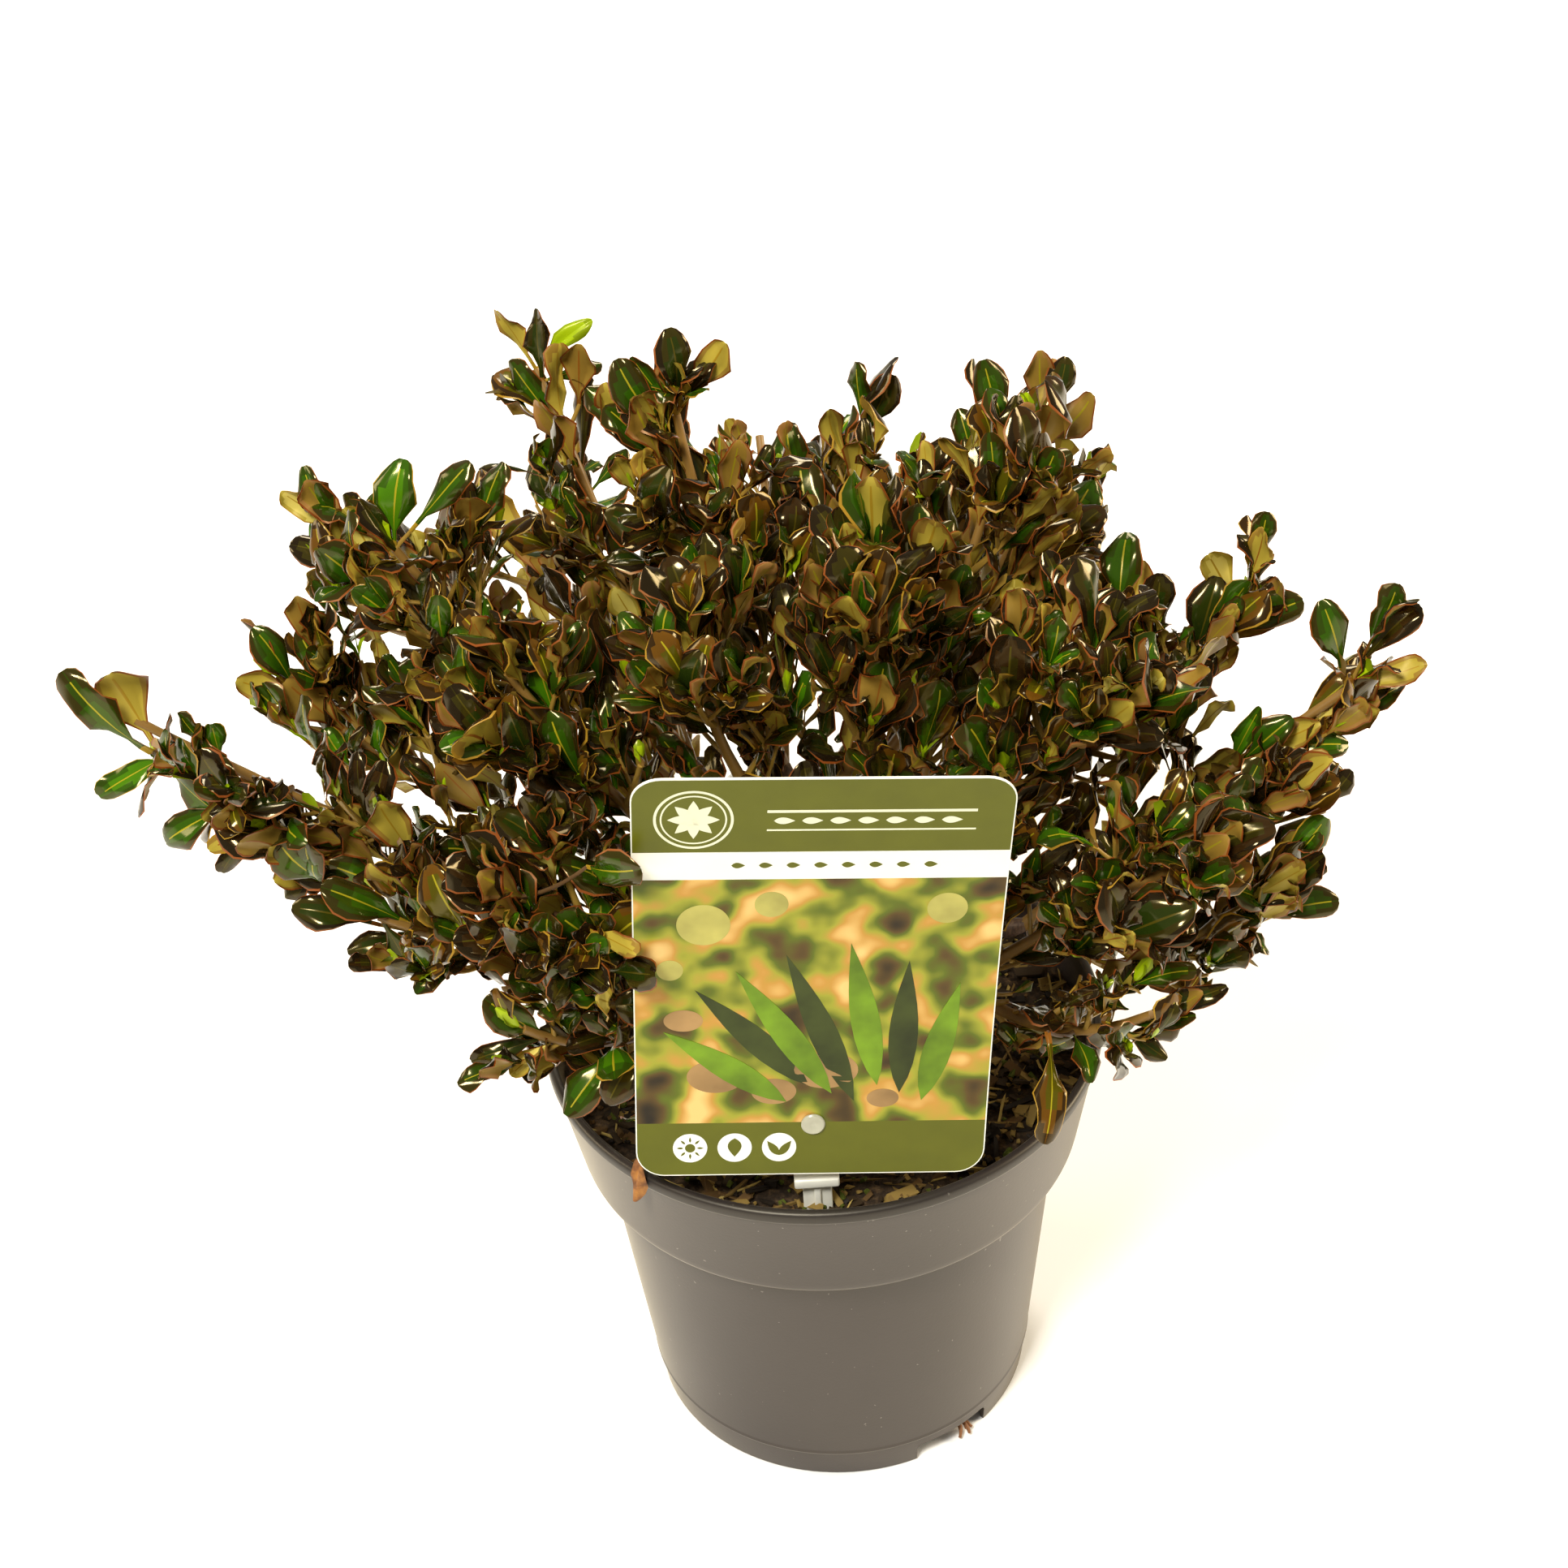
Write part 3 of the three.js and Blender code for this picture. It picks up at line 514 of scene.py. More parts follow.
# Stems: a short woody stump with root flare, and thirteen brown boughs that fork into the
# shoots. Thin bark, slightly ridged, with a scar wherever a pair of leaves once stood.
TRUNK_HEIGHT = 26.0
TRUNK_FLARE_RADIUS = 15.0
TRUNK_NECK_RADIUS = 9.5
TRUNK_HEAD_RADIUS = 13.0
TRUNK_LEAN = 2.0
ROOT_LOBES = 5
ROOT_LOBE_SWELL = 0.16
STUMP_KNURLS = 0.16
STUMP_RINGS = 26
STUMP_SIDES = 40
STUMP_SUNK = 1.0
BURL_CUT = 0.8
BURL_SHARE = 0.94
FORK_SHARE = 0.42
FORK_DROOP = 8.0
ELBOW_REACH_SHARE = 0.42
ELBOW_RISE_SHARE = 0.58
BOUGH_RADIUS = (2.6, 2.0)
KNOB_RADIUS = 5.6
BOUGH_STEPS = 26
BOUGH_SIDES = 12
BOUGH_RIDGES = 0.22
BOUGH_SCARS = 5
SCAR_SWELL = 0.14
SCAR_SHARPNESS = 0.93
FORK_SWELL = (1.1, 1.35, 1.5, 1.2)
SIDEWAYS = (0.35, 0.2, 1.0)
STEM_SPREAD = 15.0
STEM_DROOP = 9.0
BOUGHS = {
    "left_low": {"left_far": (-208, -2, 302), "left_low": (-137, -38, 246)},
    "left_back": {"left_mid": (-168, 40, 283), "left_up": (-152, 94, 308)},
    "left_front": {"left_bottom": (-94, -66, 220), "left_front": (-90, -60, 268)},
    "left_inner": {"left_high": (-124, 30, 338), "left_inner": (-90, -10, 316)},
    "back_left": {"top_left": (-80, 108, 354), "back_left": (-110, 164, 276)},
    "centre_back": {"top_centre": (-34, 66, 358), "back_centre": (-8, 178, 280)},
    "centre": {"centre_left": (-32, -14, 328), "centre_right": (24, 0, 340)},
    "back_low": {"back_low_left": (-72, 112, 218), "back_low_right": (66, 108, 210)},
    "back_right": {"top_mid": (27, 112, 320), "top_right": (89, 120, 318)},
    "right_inner": {"right_high": (68, 56, 338), "right_inner": (90, -14, 310)},
    "right_back": {"right_up": (146, 50, 278), "back_right": (108, 158, 256)},
    "right_low": {"right_far": (172, 0, 280), "right_low": (150, -26, 216)},
    "right_front": {"right_front": (114, -58, 262), "right_bottom": (102, -68, 210)},
}
trunk_head = np.array([TRUNK_LEAN, TRUNK_LEAN, SOIL_TOP + TRUNK_HEIGHT])


def unit(vector):
    return vector / np.linalg.norm(vector)


class Curve:
    """A bend from one point to another, drawn towards a third"""

    def __init__(self, start, bend, end):
        self.start, self.bend, self.end = start, bend, end

    def point(self, share):
        share = np.asarray(share, float)[..., None]
        return (self.start * (1 - share) ** 2 + self.bend * 2 * share * (1 - share)
                + self.end * share ** 2)

    def heading(self, share):
        return unit((self.bend - self.start) * (1 - share) + (self.end - self.bend) * share)

    def line(self, steps):
        return self.point(np.linspace(0, 1, steps + 1))

    def length(self):
        return np.linalg.norm(np.diff(self.line(12), axis=0), axis=1).sum()


def plan_crown():
    boughs, shoots = {}, {}
    for bough, tips in BOUGHS.items():
        middle = np.mean(list(tips.values()), axis=0)
        fork = trunk_head + (middle - trunk_head) * FORK_SHARE - (0, 0, FORK_DROOP)
        elbow = trunk_head + (fork - trunk_head) * (
            ELBOW_REACH_SHARE, ELBOW_REACH_SHARE, ELBOW_RISE_SHARE)
        boughs[bough] = Curve(trunk_head, elbow, fork)
        for shoot, tip in tips.items():
            tip = np.array(tip, float)
            bend = fork + (tip - fork) * 0.5 + unit(tip - middle) * STEM_SPREAD
            shoots[shoot] = Curve(fork, bend - (0, 0, STEM_DROOP), tip)
    return boughs, shoots


boughs, shoots = plan_crown()


def tube(line, radii, sides, slot, ridges=0.0, seed=0):
    """A limb along a line of points: rings of the given radii, with closed ends"""
    line = np.asarray(line, float)
    ahead = np.gradient(line, axis=0)
    ahead /= np.linalg.norm(ahead, axis=1)[:, None]
    side = unit(np.cross(ahead[0], SIDEWAYS))
    angles = np.arange(sides) * math.tau / sides
    rings = []
    for point, forward, radius in zip(line, ahead, radii):
        side = unit(side - forward * (side @ forward))
        back = np.cross(side, forward)
        ring = point + radius * (np.cos(angles)[:, None] * side + np.sin(angles)[:, None] * back)
        if ridges:
            swell = [noise.noise(Vector(spot) * 0.33 + Vector((seed, 0, 0))) for spot in ring]
            ring += (ring - point) * (ridges * np.array(swell))[:, None]
        rings.append(ring)
    corners = np.concatenate(rings)
    faces = [list(range(sides))[::-1]]
    for i in range(len(line) - 1):
        for j in range(sides):
            low, next_low = i * sides + j, i * sides + (j + 1) % sides
            faces.append([low, low + sides, next_low + sides, next_low][::-1])
    faces.append([(len(line) - 1) * sides + j for j in range(sides)])
    return corners, faces, np.full(len(faces), slot)


def bark():
    material, tree, shader, place = textured("bark", (0.11, 0.06, 0.03), 0.6)
    stretch = tree.nodes.new("ShaderNodeMapping")
    stretch.inputs["Scale"].default_value = (1, 1, 0.3)
    tree.links.new(place, stretch.inputs["Vector"])
    grain = speckle(tree, stretch.outputs["Vector"], scale=700, detail=4.0, roughness=0.65)
    colour = ramp(tree, grain, [
        (0.3, (0.03, 0.015, 0.008)), (0.5, (0.10, 0.052, 0.026)), (0.72, (0.22, 0.13, 0.065))])
    tree.links.new(colour, shader.inputs["Base Color"])
    relief(tree, shader, grain, strength=0.5, distance=0.0006)
    return material


def trunk_shape():
    """The stump: rings that follow its lean, with root lobes below and a burl above"""
    form = bmesh.new()
    last = None
    for height in np.linspace(0, TRUNK_HEIGHT + TRUNK_HEAD_RADIUS * BURL_CUT, STUMP_RINGS):
        share = height / TRUNK_HEIGHT
        flare = max(0.0, 1 - share) ** 3
        burl = math.sqrt(max(0.0, 1 - ((height - TRUNK_HEIGHT) / TRUNK_HEAD_RADIUS) ** 2))
        neck = TRUNK_NECK_RADIUS + (TRUNK_FLARE_RADIUS - TRUNK_NECK_RADIUS) * flare
        radius = max(neck if share < 1 else 0, burl * TRUNK_HEAD_RADIUS * BURL_SHARE)
        centre = Vector((TRUNK_LEAN * share, TRUNK_LEAN * share, SOIL_TOP - STUMP_SUNK + height)) * MM
        ring = bmesh.ops.create_circle(
            form, segments=STUMP_SIDES, radius=radius * MM, matrix=Matrix.Translation(centre))["verts"]
        for vert in ring:
            bearing = math.atan2(vert.co.y, vert.co.x)
            lobe = ROOT_LOBE_SWELL * flare * math.cos(ROOT_LOBES * bearing)
            knurl = STUMP_KNURLS * noise.fractal(vert.co / MM * 0.14, 1.0, 2.0, 3)
            vert.co.xy = centre.xy + (vert.co.xy - centre.xy) * (1 + lobe + knurl)
        edges = list({edge for vert in ring for edge in vert.link_edges})
        if last:
            bmesh.ops.bridge_loops(form, edges=last + edges)
        last = edges
    bmesh.ops.holes_fill(form, edges=form.edges, sides=0)
    bmesh.ops.recalc_face_normals(form, faces=form.faces)
    return form


bark_brown = bark()
stump = show("stump", mesh_of(trunk_shape(), "stump", sharp_angle=60), bark_brown)
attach(stump, "root")
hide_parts("trunk")
for number, (name, curve) in enumerate(boughs.items()):
    shares = np.linspace(0, 1, BOUGH_STEPS + 1)
    radii = BOUGH_RADIUS[0] + (BOUGH_RADIUS[1] - BOUGH_RADIUS[0]) * shares
    radii *= 1 + SCAR_SWELL * (np.abs(np.sin(shares * math.pi * BOUGH_SCARS)) > SCAR_SHARPNESS)
    radii[-len(FORK_SWELL):] *= FORK_SWELL
    limb = tube(curve.line(BOUGH_STEPS), radii, BOUGH_SIDES, 0, BOUGH_RIDGES, number)
    bough = joined(f"stem_{name}", [limb], [bark_brown], sharp_angle=50)
    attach(bough, "root")
    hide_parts(f"bough_{name}")


# Leaves: obovate on a short stalk, thick and glossy, with a wavy margin that rolls under. Each
# is chocolate brown with a green middle and a yellow midrib, and olive khaki underneath; the
# youngest are lime green. Twenty-four moulds in three sizes serve for all of them.
LARGE, MEDIUM, SMALL = range(3)
ZONES = ["stalk", "margin", "rib", "core", "mid", "edge", "under", "under_edge", "under_rib"]
STALK, MARGIN, RIB, CORE, MID, EDGE, UNDER, UNDER_EDGE, UNDER_RIB = range(len(ZONES))
LEAF_GRIDS = {
    LARGE: ([-1, -0.94, -0.7, -0.38, -0.045, 0.045, 0.38, 0.7, 0.94, 1],
            [0, 0.11, 0.24, 0.39, 0.54, 0.69, 0.81, 0.9, 0.965, 1]),
    MEDIUM: ([-1, -0.91, -0.52, -0.055, 0.055, 0.52, 0.91, 1],
             [0, 0.13, 0.31, 0.5, 0.69, 0.84, 0.95, 1]),
    SMALL: ([-1, -0.5, 0, 0.5, 1], [0, 0.18, 0.48, 0.8, 1]),
}
LEAF_THICKNESS = 0.016
LEAF_SHINE = (1, 0.82, 0.45, 1)
MOULD_SEEDS = (300, 350, 400)
MOULDS_OF_A_SIZE = 8
SLIM_MOULDS = 4
# A leaf's form, in shares of its length: its stalk, where its tip curls, how full its shoulders
# are, and where its twist begins
STALK_HALF_WIDTH = 0.026
STALK_PITCH = 0.25
CURL_FROM = 0.72
SHOULDER = 1.35
TIP_END = 1.005
TWIST_FROM = 0.2
# Small leaves are this much flatter and plainer in outline
SMALL_WAVE = 0.6
SMALL_SWAY = 0.5
# Where the colour zones lie on a leaf
RIB_HALF_WIDTH = 0.03
RIB_END = 0.86
MARGIN_FROM = 0.87
GREEN_FROM = 0.25
GREEN_BREADTH = 0.84
CORE_DEPTH = 0.72


def leaf_mould(size, seed, slim):
    """A leaf one unit long from its node, along +Y, its upper face to +Z"""
    roll = dice(seed)
    widths, rows = LEAF_GRIDS[size]
    half_width = roll(0.15, 0.19) if slim else roll(0.19, 0.245)
    widest = roll(0.62, 0.76)
    blunt = roll(0.01, 0.06)
    recurve = roll(-0.2, 1.05)
    twist = roll(-0.5, 0.5)
    fold = roll(-0.1, 0.5)
    tip_curl = roll(-0.5, 2.2)
    roll_under = roll(0.15, 0.6)
    wave = roll(0.04, 0.1) * (SMALL_WAVE if size == SMALL else 1)
    waves = roll(1.2, 2.2)
    wave_phases = roll(0, math.tau), roll(0, math.tau)
    sway_out = roll(0.09, 0.23) * (SMALL_SWAY if size == SMALL else 1)
    sway_phases = roll(0, math.tau), roll(0, math.tau)
    green_reach = roll(0.8, 1.25)
    form = bmesh.new()
    bmesh.ops.create_grid(
        form, x_segments=len(widths) - 1, y_segments=len(rows) - 1, size=1)
    spine, pitch, step_from = {}, 0.0, np.array([0.0, 0.0])
    for i, row in enumerate(rows):
        if i:
            pitch = STALK_PITCH - recurve * row ** 2 - tip_curl * max(0.0, row - CURL_FROM)
            step_from = step_from + (row - rows[i - 1]) * np.array([math.cos(pitch), math.sin(pitch)])
        spine[i] = step_from, pitch
    for vert in form.verts:
        column = round((vert.co.x + 1) / 2 * (len(widths) - 1))
        i = round((vert.co.y + 1) / 2 * (len(rows) - 1))
        across, row = widths[column], rows[i]
        side = 0 if across < 0 else 1
        if row < widest:
            rising = row / widest
            breadth = (rising * rising * (3 - 2 * rising)) ** SHOULDER
        else:
            breadth = max(blunt, 1 - ((row - widest) / (TIP_END - widest)) ** 2) ** 0.5
        breadth *= 1 + sway_out * math.sin(math.tau * waves * row + sway_phases[side])
        breadth = max(STALK_HALF_WIDTH, half_width * breadth)
        (along, rise), pitch = spine[i]
        lift = fold * abs(across) * breadth - roll_under * abs(across) ** 4 * breadth
        ripple = math.sin(math.tau * waves * row + wave_phases[side])
        lift += wave * ripple * abs(across) ** 1.6 * min(1.0, breadth / half_width)
        flat = Vector((across * breadth, 0, lift))
        flat.rotate(Matrix.Rotation(twist * (row - TWIST_FROM), 3, "Y"))
        flat.rotate(Matrix.Rotation(pitch, 3, "X"))
        vert.co = flat + Vector((0, along, rise))
    deal_zones(form, widths, rows, green_reach, roll)
    close_leaf(form)
    return arrays_of(form)


def deal_zones(form, widths, rows, green_reach, roll):
    """Deals the upper face's colour zones over a leaf's grid; small leaves have no margin"""
    columns = len(widths) - 1
    has_margin = len(widths) > len(LEAF_GRIDS[SMALL][0])
    form.faces.ensure_lookup_table()
    for index, face in enumerate(form.faces):
        column, i = index % columns, index // columns
        across = abs(widths[column] + widths[column + 1]) / 2
        row = (rows[i] + rows[i + 1]) / 2
        from_heart = max(0, row - GREEN_FROM) / (green_reach - GREEN_FROM)
        depth = math.hypot(across / GREEN_BREADTH, from_heart) + roll(-0.05, 0.05)
        if i == 0:
            zone = STALK
        elif across < RIB_HALF_WIDTH:
            zone = RIB if row < RIB_END else MID
        elif has_margin and across > MARGIN_FROM:
            zone = MARGIN
        elif depth < CORE_DEPTH:
            zone = CORE
        elif depth < 1:
            zone = MID
        else:
            zone = EDGE
        face.material_index = zone


def close_leaf(form):
    """Backs a leaf with its underside, which meets the upper face at the margin"""
    below = {STALK: STALK, MARGIN: MARGIN, RIB: UNDER_RIB, CORE: UNDER, MID: UNDER, EDGE: UNDER_EDGE}
    form.normal_update()
    inner = [vert for vert in form.verts if not vert.is_boundary]
    copied = bmesh.ops.duplicate(form, geom=form.verts[:] + form.edges[:] + form.faces[:])
    twin = copied["vert_map"]
    for vert in inner:
        twin[vert].co = vert.co - vert.normal * LEAF_THICKNESS
    backs = [item for item in copied["geom"] if isinstance(item, bmesh.types.BMFace)]
    bmesh.ops.reverse_faces(form, faces=backs)
    for face in backs:
        face.material_index = below[face.material_index]
    bmesh.ops.remove_doubles(form, verts=form.verts, dist=0.00001)


moulds = [
    [leaf_mould(size, MOULD_SEEDS[size] + i, i < SLIM_MOULDS) for i in range(MOULDS_OF_A_SIZE)]
    for size in (LARGE, MEDIUM, SMALL)]

LEAF_PAINTS = {
    "stalk_olive": ((156, 124, 30), 0.4), "stalk_rust": ((138, 84, 24), 0.4),
    "margin_rust": ((122, 60, 18), 0.4), "margin_gold": ((158, 120, 34), 0.4),
    "rib_gold": ((152, 140, 24), 0.3), "rib_dark": ((70, 62, 12), 0.25),
    "green": ((42, 76, 6), 0.15), "green_bright": ((62, 108, 7), 0.15),
    "green_deep": ((38, 58, 6), 0.15), "green_dark": ((31, 43, 7), 0.14),
    "olive": ((74, 68, 7), 0.15), "olive_dark": ((43, 38, 8), 0.14),
    "lime": ((156, 180, 12), 0.28), "lime_soft": ((128, 148, 14), 0.28),
    "chocolate": ((43, 27, 9), 0.13), "purple_black": ((26, 18, 8), 0.12),
    "bronze": ((90, 58, 12), 0.15),
    "khaki": ((170, 150, 54), 0.45), "khaki_pale": ((200, 182, 86), 0.45),
    "khaki_brown": ((142, 112, 42), 0.45), "khaki_rose": ((152, 110, 56), 0.45),
}
leaf_materials = [
    plain(f"leaf_{name}", paint(*colour), roughness)
    for name, (colour, roughness) in LEAF_PAINTS.items()]
for material in leaf_materials:
    shader_of(material).inputs["Specular IOR Level"].default_value = 0.5
    shader_of(material).inputs["Specular Tint"].default_value = LEAF_SHINE
PAINT_NUMBER = {name: number for number, name in enumerate(LEAF_PAINTS)}
# A family says which paint goes on each zone, in the order of ZONES
FAMILIES = [
    ["stalk_olive", "margin_rust", "rib_gold", "green", "green_deep", "olive_dark",
     "khaki", "khaki_brown", "stalk_olive"],
    ["stalk_rust", "margin_rust", "rib_dark", "green_dark", "olive_dark", "purple_black",
     "khaki_brown", "khaki_rose", "rib_gold"],
    ["stalk_olive", "margin_gold", "rib_gold", "green_bright", "green", "green_deep",
     "khaki_pale", "khaki", "stalk_olive"],
    ["stalk_rust", "margin_gold", "rib_gold", "olive", "bronze", "chocolate",
     "khaki", "khaki_brown", "stalk_rust"],
    ["stalk_rust", "margin_rust", "rib_dark", "olive_dark", "chocolate", "purple_black",
     "khaki_brown", "khaki_brown", "stalk_rust"],
    ["stalk_olive", "lime_soft", "lime", "lime", "lime", "lime_soft",
     "lime_soft", "lime_soft", "lime"],
]
YOUNG = 5
family_paints = np.array([[PAINT_NUMBER[name] for name in family] for family in FAMILIES])


# Shoots: stems that fork from the boughs and bear twigs in opposite pairs, each pair a quarter
# turn from the last. Leaves stand in pairs at close nodes with a tuft of small ones in many
# axils, and a rosette ends each limb. The bark is bronze on the stems and olive on the twigs.
# Each limb's radius at its foot and tip
STEM_RADIUS = (2.3, 1.5)
TWIG_RADIUS = (1.35, 0.9)
FINE_RADIUS = (0.9, 0.6)
STEM_STEPS = 16
TWIG_STEPS = 7
FINE_STEPS = 4
STEM_SIDES = 7
TWIG_SIDES = 6
STEM_RIDGES = 0.2
TWIG_RIDGES = 0.1
# Twigs: their length and how it falls off along the stem, the shares of the stem where they
# stand, the angles at which they open from it, and the room that they keep round them
TWIG_SEED = 1
TWIG_LENGTH = 38.0
TWIG_TAPER = (1.12, 0.5)
TWIG_NODES = (0.16, 0.42, 0.68)
TWIG_FIRST_BEARING = 45
TWIG_OPENING = 46
TWIG_BEND = 0.55
TWIG_RISE = 0.26
TWIG_ROOM = 1.3
SHORTEST_TWIG = 16.0
SHORTENING = 0.8
# Finer twigs on the stems, and shorter ones on the twigs
FINE_NODES = (0.06, 0.29, 0.55, 0.82)
FINE_LENGTH = 23.0
FINE_TWIG_NODES = (0.5,)
FINE_TWIG_LENGTH = 15.0
FINE_TAPER = (1.1, 0.35)
FINE_OPENING = 48
FINE_ROOM = 1.0
SHORTEST_FINE = 7.0
NODE_SPACING = 15.5
# Where a limb's leaves start, their length at its tip, how that varies, and their length at its foot
STEM_LEAVES = (0.08, 35.0, (0.9, 1.08), 27.0)
TWIG_LEAVES = (0.2, 31.0, (0.85, 1.15), 25.0)
FINE_LEAVES = (0.3, 27.0, (0.8, 1.2), 22.0)
# A leaf is cast in the large or medium moulds from these lengths on
LARGE_FROM = 23.0
MEDIUM_FROM = 12.5
LEAF_OPENING = 54
LEAF_CLOSING = 24
TUFT_CHANCE = 0.42
TUFT_UP_TO = 0.9
TUFT_CLOSING = 20
# The pairs of a rosette: how far along the limb and how open they stand
OUTER_PAIR = (0.97, 30)
INNER_PAIR = (1.0, 20)
HEART_PAIR = (1.0, 12)
OUTER_LARGE_FROM = 22.5
INNER_LARGE_FROM = 28.0
INNER_SHARE = 0.8
CROWNED_INNER_SHARE = 0.55
HEART_SHARE = 0.4
# The first five families of leaf paints are dealt by where a throw from 0 to 1 falls
FAMILY_BOUNDS = (0.24, 0.5, 0.56, 0.76, 1.0)
LEAF_RISE = 0.42
# How far leaves turn their upper face outwards, or the underside where it faces further in
LEAF_TURN = 0.85
FACES_IN = -0.5
LIGHT_SIDE = np.array([0, -0.55, 0.2])
LEAF_SPOTS = 16
# The room that leaves and twigs leave to other shoots, to the pot and to the card
SPACE_MARGIN = 1.2
RIM_ROOM = 9.0
CARD_ROOM = 5.0
CARD_CENTRE = np.array([-2.0, -77.5, 244.5])
CARD_WIDTH = 110.0
UP = np.array([0, 0, 1.0])
SIDEWAYS_HINT = unit(np.array(SIDEWAYS))
# A twig ends at the last of these steps that has a leaf or twig within the gap, or is left out
CUT_STEPS = 24
CUT_GAP = 1.2
SHORTEST_STUB = 0.15
# Lines of sight from the front that leaves and twigs keep off, as the crown is open there: where
# each meets the plane of the trunk (x, z) and how wide it is
OPEN_SIGHTS = [
    (-187, 318, 8), (-195, 332, 10), (-2, 402, 10), (-2, 414, 12), (-15, 400, 7), (-100, 400, 13),
    (-103, 388, 10), (-92, 397, 10), (-82, 392, 8), (-111, 372, 8), (-119, 380, 8), (-127, 386, 8),
    (114, 331, 8), (124, 348, 11), (142, 294, 9), (153, 283, 10), (153, 300, 9), (144, 281, 7),
    (133, 263, 7), (178, 257, 8), (171, 306, 8), (176, 314, 7), (167, 172, 10), (155, 178, 8),
    (149, 148, 8), (160, 161, 8), (130, 330, 7), (172, 203, 6), (190, 271, 7), (-48, 423, 8),
    (-60, 430, 7), (-73, 428, 7), (-122, 158, 8), (-119, 177, 8), (-148, 175, 11), (-168, 169, 10),
    (101, 361, 8), (90, 386, 8), (36, 395, 8), (33, 387, 7), (-177, 289, 5), (-161, 278, 5),
    (-201, 266, 4), (-81, 374, 6), (-56, 374, 6), (-81, 114, 8), (-88, 130, 8), (63, 95, 8),
    (65, 126, 6), (90, 127, 7), (-155, 348, 7), (132, 126, 8), (133, 143, 8), (67, 405, 8),
    (121, 127, 7), (-152, 208, 6), (-173, 322, 6), (-214, 286, 6), (15, 409, 7), (-161, 203, 6),
    (-43, 434, 8), (-36, 442, 7), (-84, 424, 7), (-92, 416, 7), (-204, 266, 8), (179, 241, 6),
    (102, 380, 7), (-27, 421, 7), (26, 410, 6), (119, 315, 6), (190, 292, 5), (51, 390, 6),
    (-171, 280, 4), (-7, 390, 6), (-146, 217, 6), (110, 154, 6), (-27, 269, 5), (-152, 362, 6),
    (105, 331, 6), (-24, 394, 5), (-53, 392, 5), (-76, 331, 4), (-190, 304, 5), (-182, 281, 4),
    (110, 246, 4), (-110, 260, 4), (139, 159, 6), (118, 128, 6), (186, 212, 8), (-183, 236, 7),
    (-138, 390, 8), (-16, 402, 7), (-205, 240, 6), (-161, 340, 6), (156, 326, 8), (107, 371, 6),
    (-216, 333, 8), (-224, 289, 6), (-229, 320, 6), (10, 397, 6), (-168, 290, 5), (-205, 302, 7),
    (-214, 299, 8), (87, 405, 7), (92, 103, 7), (94, 94, 8), (98, 84, 8), (131, 332, 6),
    (180, 233, 7), (100, 352, 5), (108, 355, 6), (123, 321, 5), (77, 122, 8), (77, 106, 8),
    (-179, 288, 7), (-179, 305, 7), (-160, 277, 6),
]
SIGHT_DEPTH = 240.0
# Twigs that reach out below or beyond the regular ones, by where they leave a stem and end
LONG_TWIGS = {
    "left_far": [(0.2, (-160, -16, 254)), (0.42, (-190, -6, 264)), (0.34, (-180, -14, 246))],
    "left_mid": [(0.7, (-158, 44, 288)), (0.5, (-124, 24, 290))],
    "left_up": [(0.6, (-156, 80, 286))],
    "left_inner": [(0.65, (-106, -8, 298))],
    "right_far": [(0.3, (160, -10, 240)), (0.42, (164, -4, 252))],
    "right_high": [(0.5, (96, 54, 292))],
    "right_up": [(0.65, (118, 54, 276))],
    "right_low": [(0.65, (160, -22, 222)), (0.55, (152, -16, 204)), (0.5, (138, -34, 200))],
}
camera_spot = np.array(EYE / MM)
sights = []
for x, z, width in OPEN_SIGHTS:
    crossing = np.array([x, 0, z])
    away = unit(crossing - camera_spot) * SIGHT_DEPTH
    sights.append([crossing - away, crossing, crossing + away])
sights = np.array(sights)
sight_widths = [width for x, z, width in OPEN_SIGHTS]
bough_lines = np.array([curve.line(10) for curve in boughs.values()])
shoot_lines = np.array([curve.line(12) for curve in shoots.values()])
forks = np.array([curve.end for curve in boughs.values()])


def distances(points, lines):
    """How far each point is from each line"""
    starts, steps = lines[:, :-1], np.diff(lines, axis=1)
    offset = points[:, None, None] - starts
    along = np.clip((offset * steps).sum(-1) / (steps ** 2).sum(-1), 0, 1)
    return np.linalg.norm(offset - along[..., None] * steps, axis=-1).min(-1)


def on_open_sight(points):
    return (distances(points, sights) < sight_widths).any(-1)


def in_own_space(shoot, points, room):
    """Which points lie in the shoot's own space, clear of pot, card, limbs and other shoots"""
    x, y, z = points.T
    ground = np.where(np.hypot(x, y) < RIM_RADIUS - 2 * LIP_WALL - RIM_ROOM, SOIL_TOP, POT_HEIGHT)
    in_card_zone = (np.abs(x - CARD_CENTRE[0]) < CARD_WIDTH / 2 + CARD_ROOM + room) & (
        y < CARD_CENTRE[1] + CARD_ROOM + room)
    near = distances(points, shoot_lines)
    own = near[:, shoot].copy()
    near[:, shoot] = np.inf
    limb_room = BOUGH_RADIUS[0] + room
    fork_gap = np.linalg.norm(points[:, None] - forks, axis=-1).min(-1)
    return ((z > ground + RIM_ROOM + room) & ~in_card_zone & (near.min(-1) > own + SPACE_MARGIN)
            & (distances(points, bough_lines).min(-1) > limb_room) & (fork_gap > KNOB_RADIUS + room)
            & (np.linalg.norm(points - trunk_head, axis=-1) > TRUNK_HEAD_RADIUS + room))


def branch_direction(ahead, bearing, opening):
    """A direction that opens from a limb by one angle, at a bearing round it"""
    side = unit(np.cross(ahead, SIDEWAYS_HINT))
    back = np.cross(side, ahead)
    opening, bearing = math.radians(opening), math.radians(bearing)
    around = side * math.cos(bearing) + back * math.sin(bearing)
    return ahead * math.cos(opening) + around * math.sin(opening)


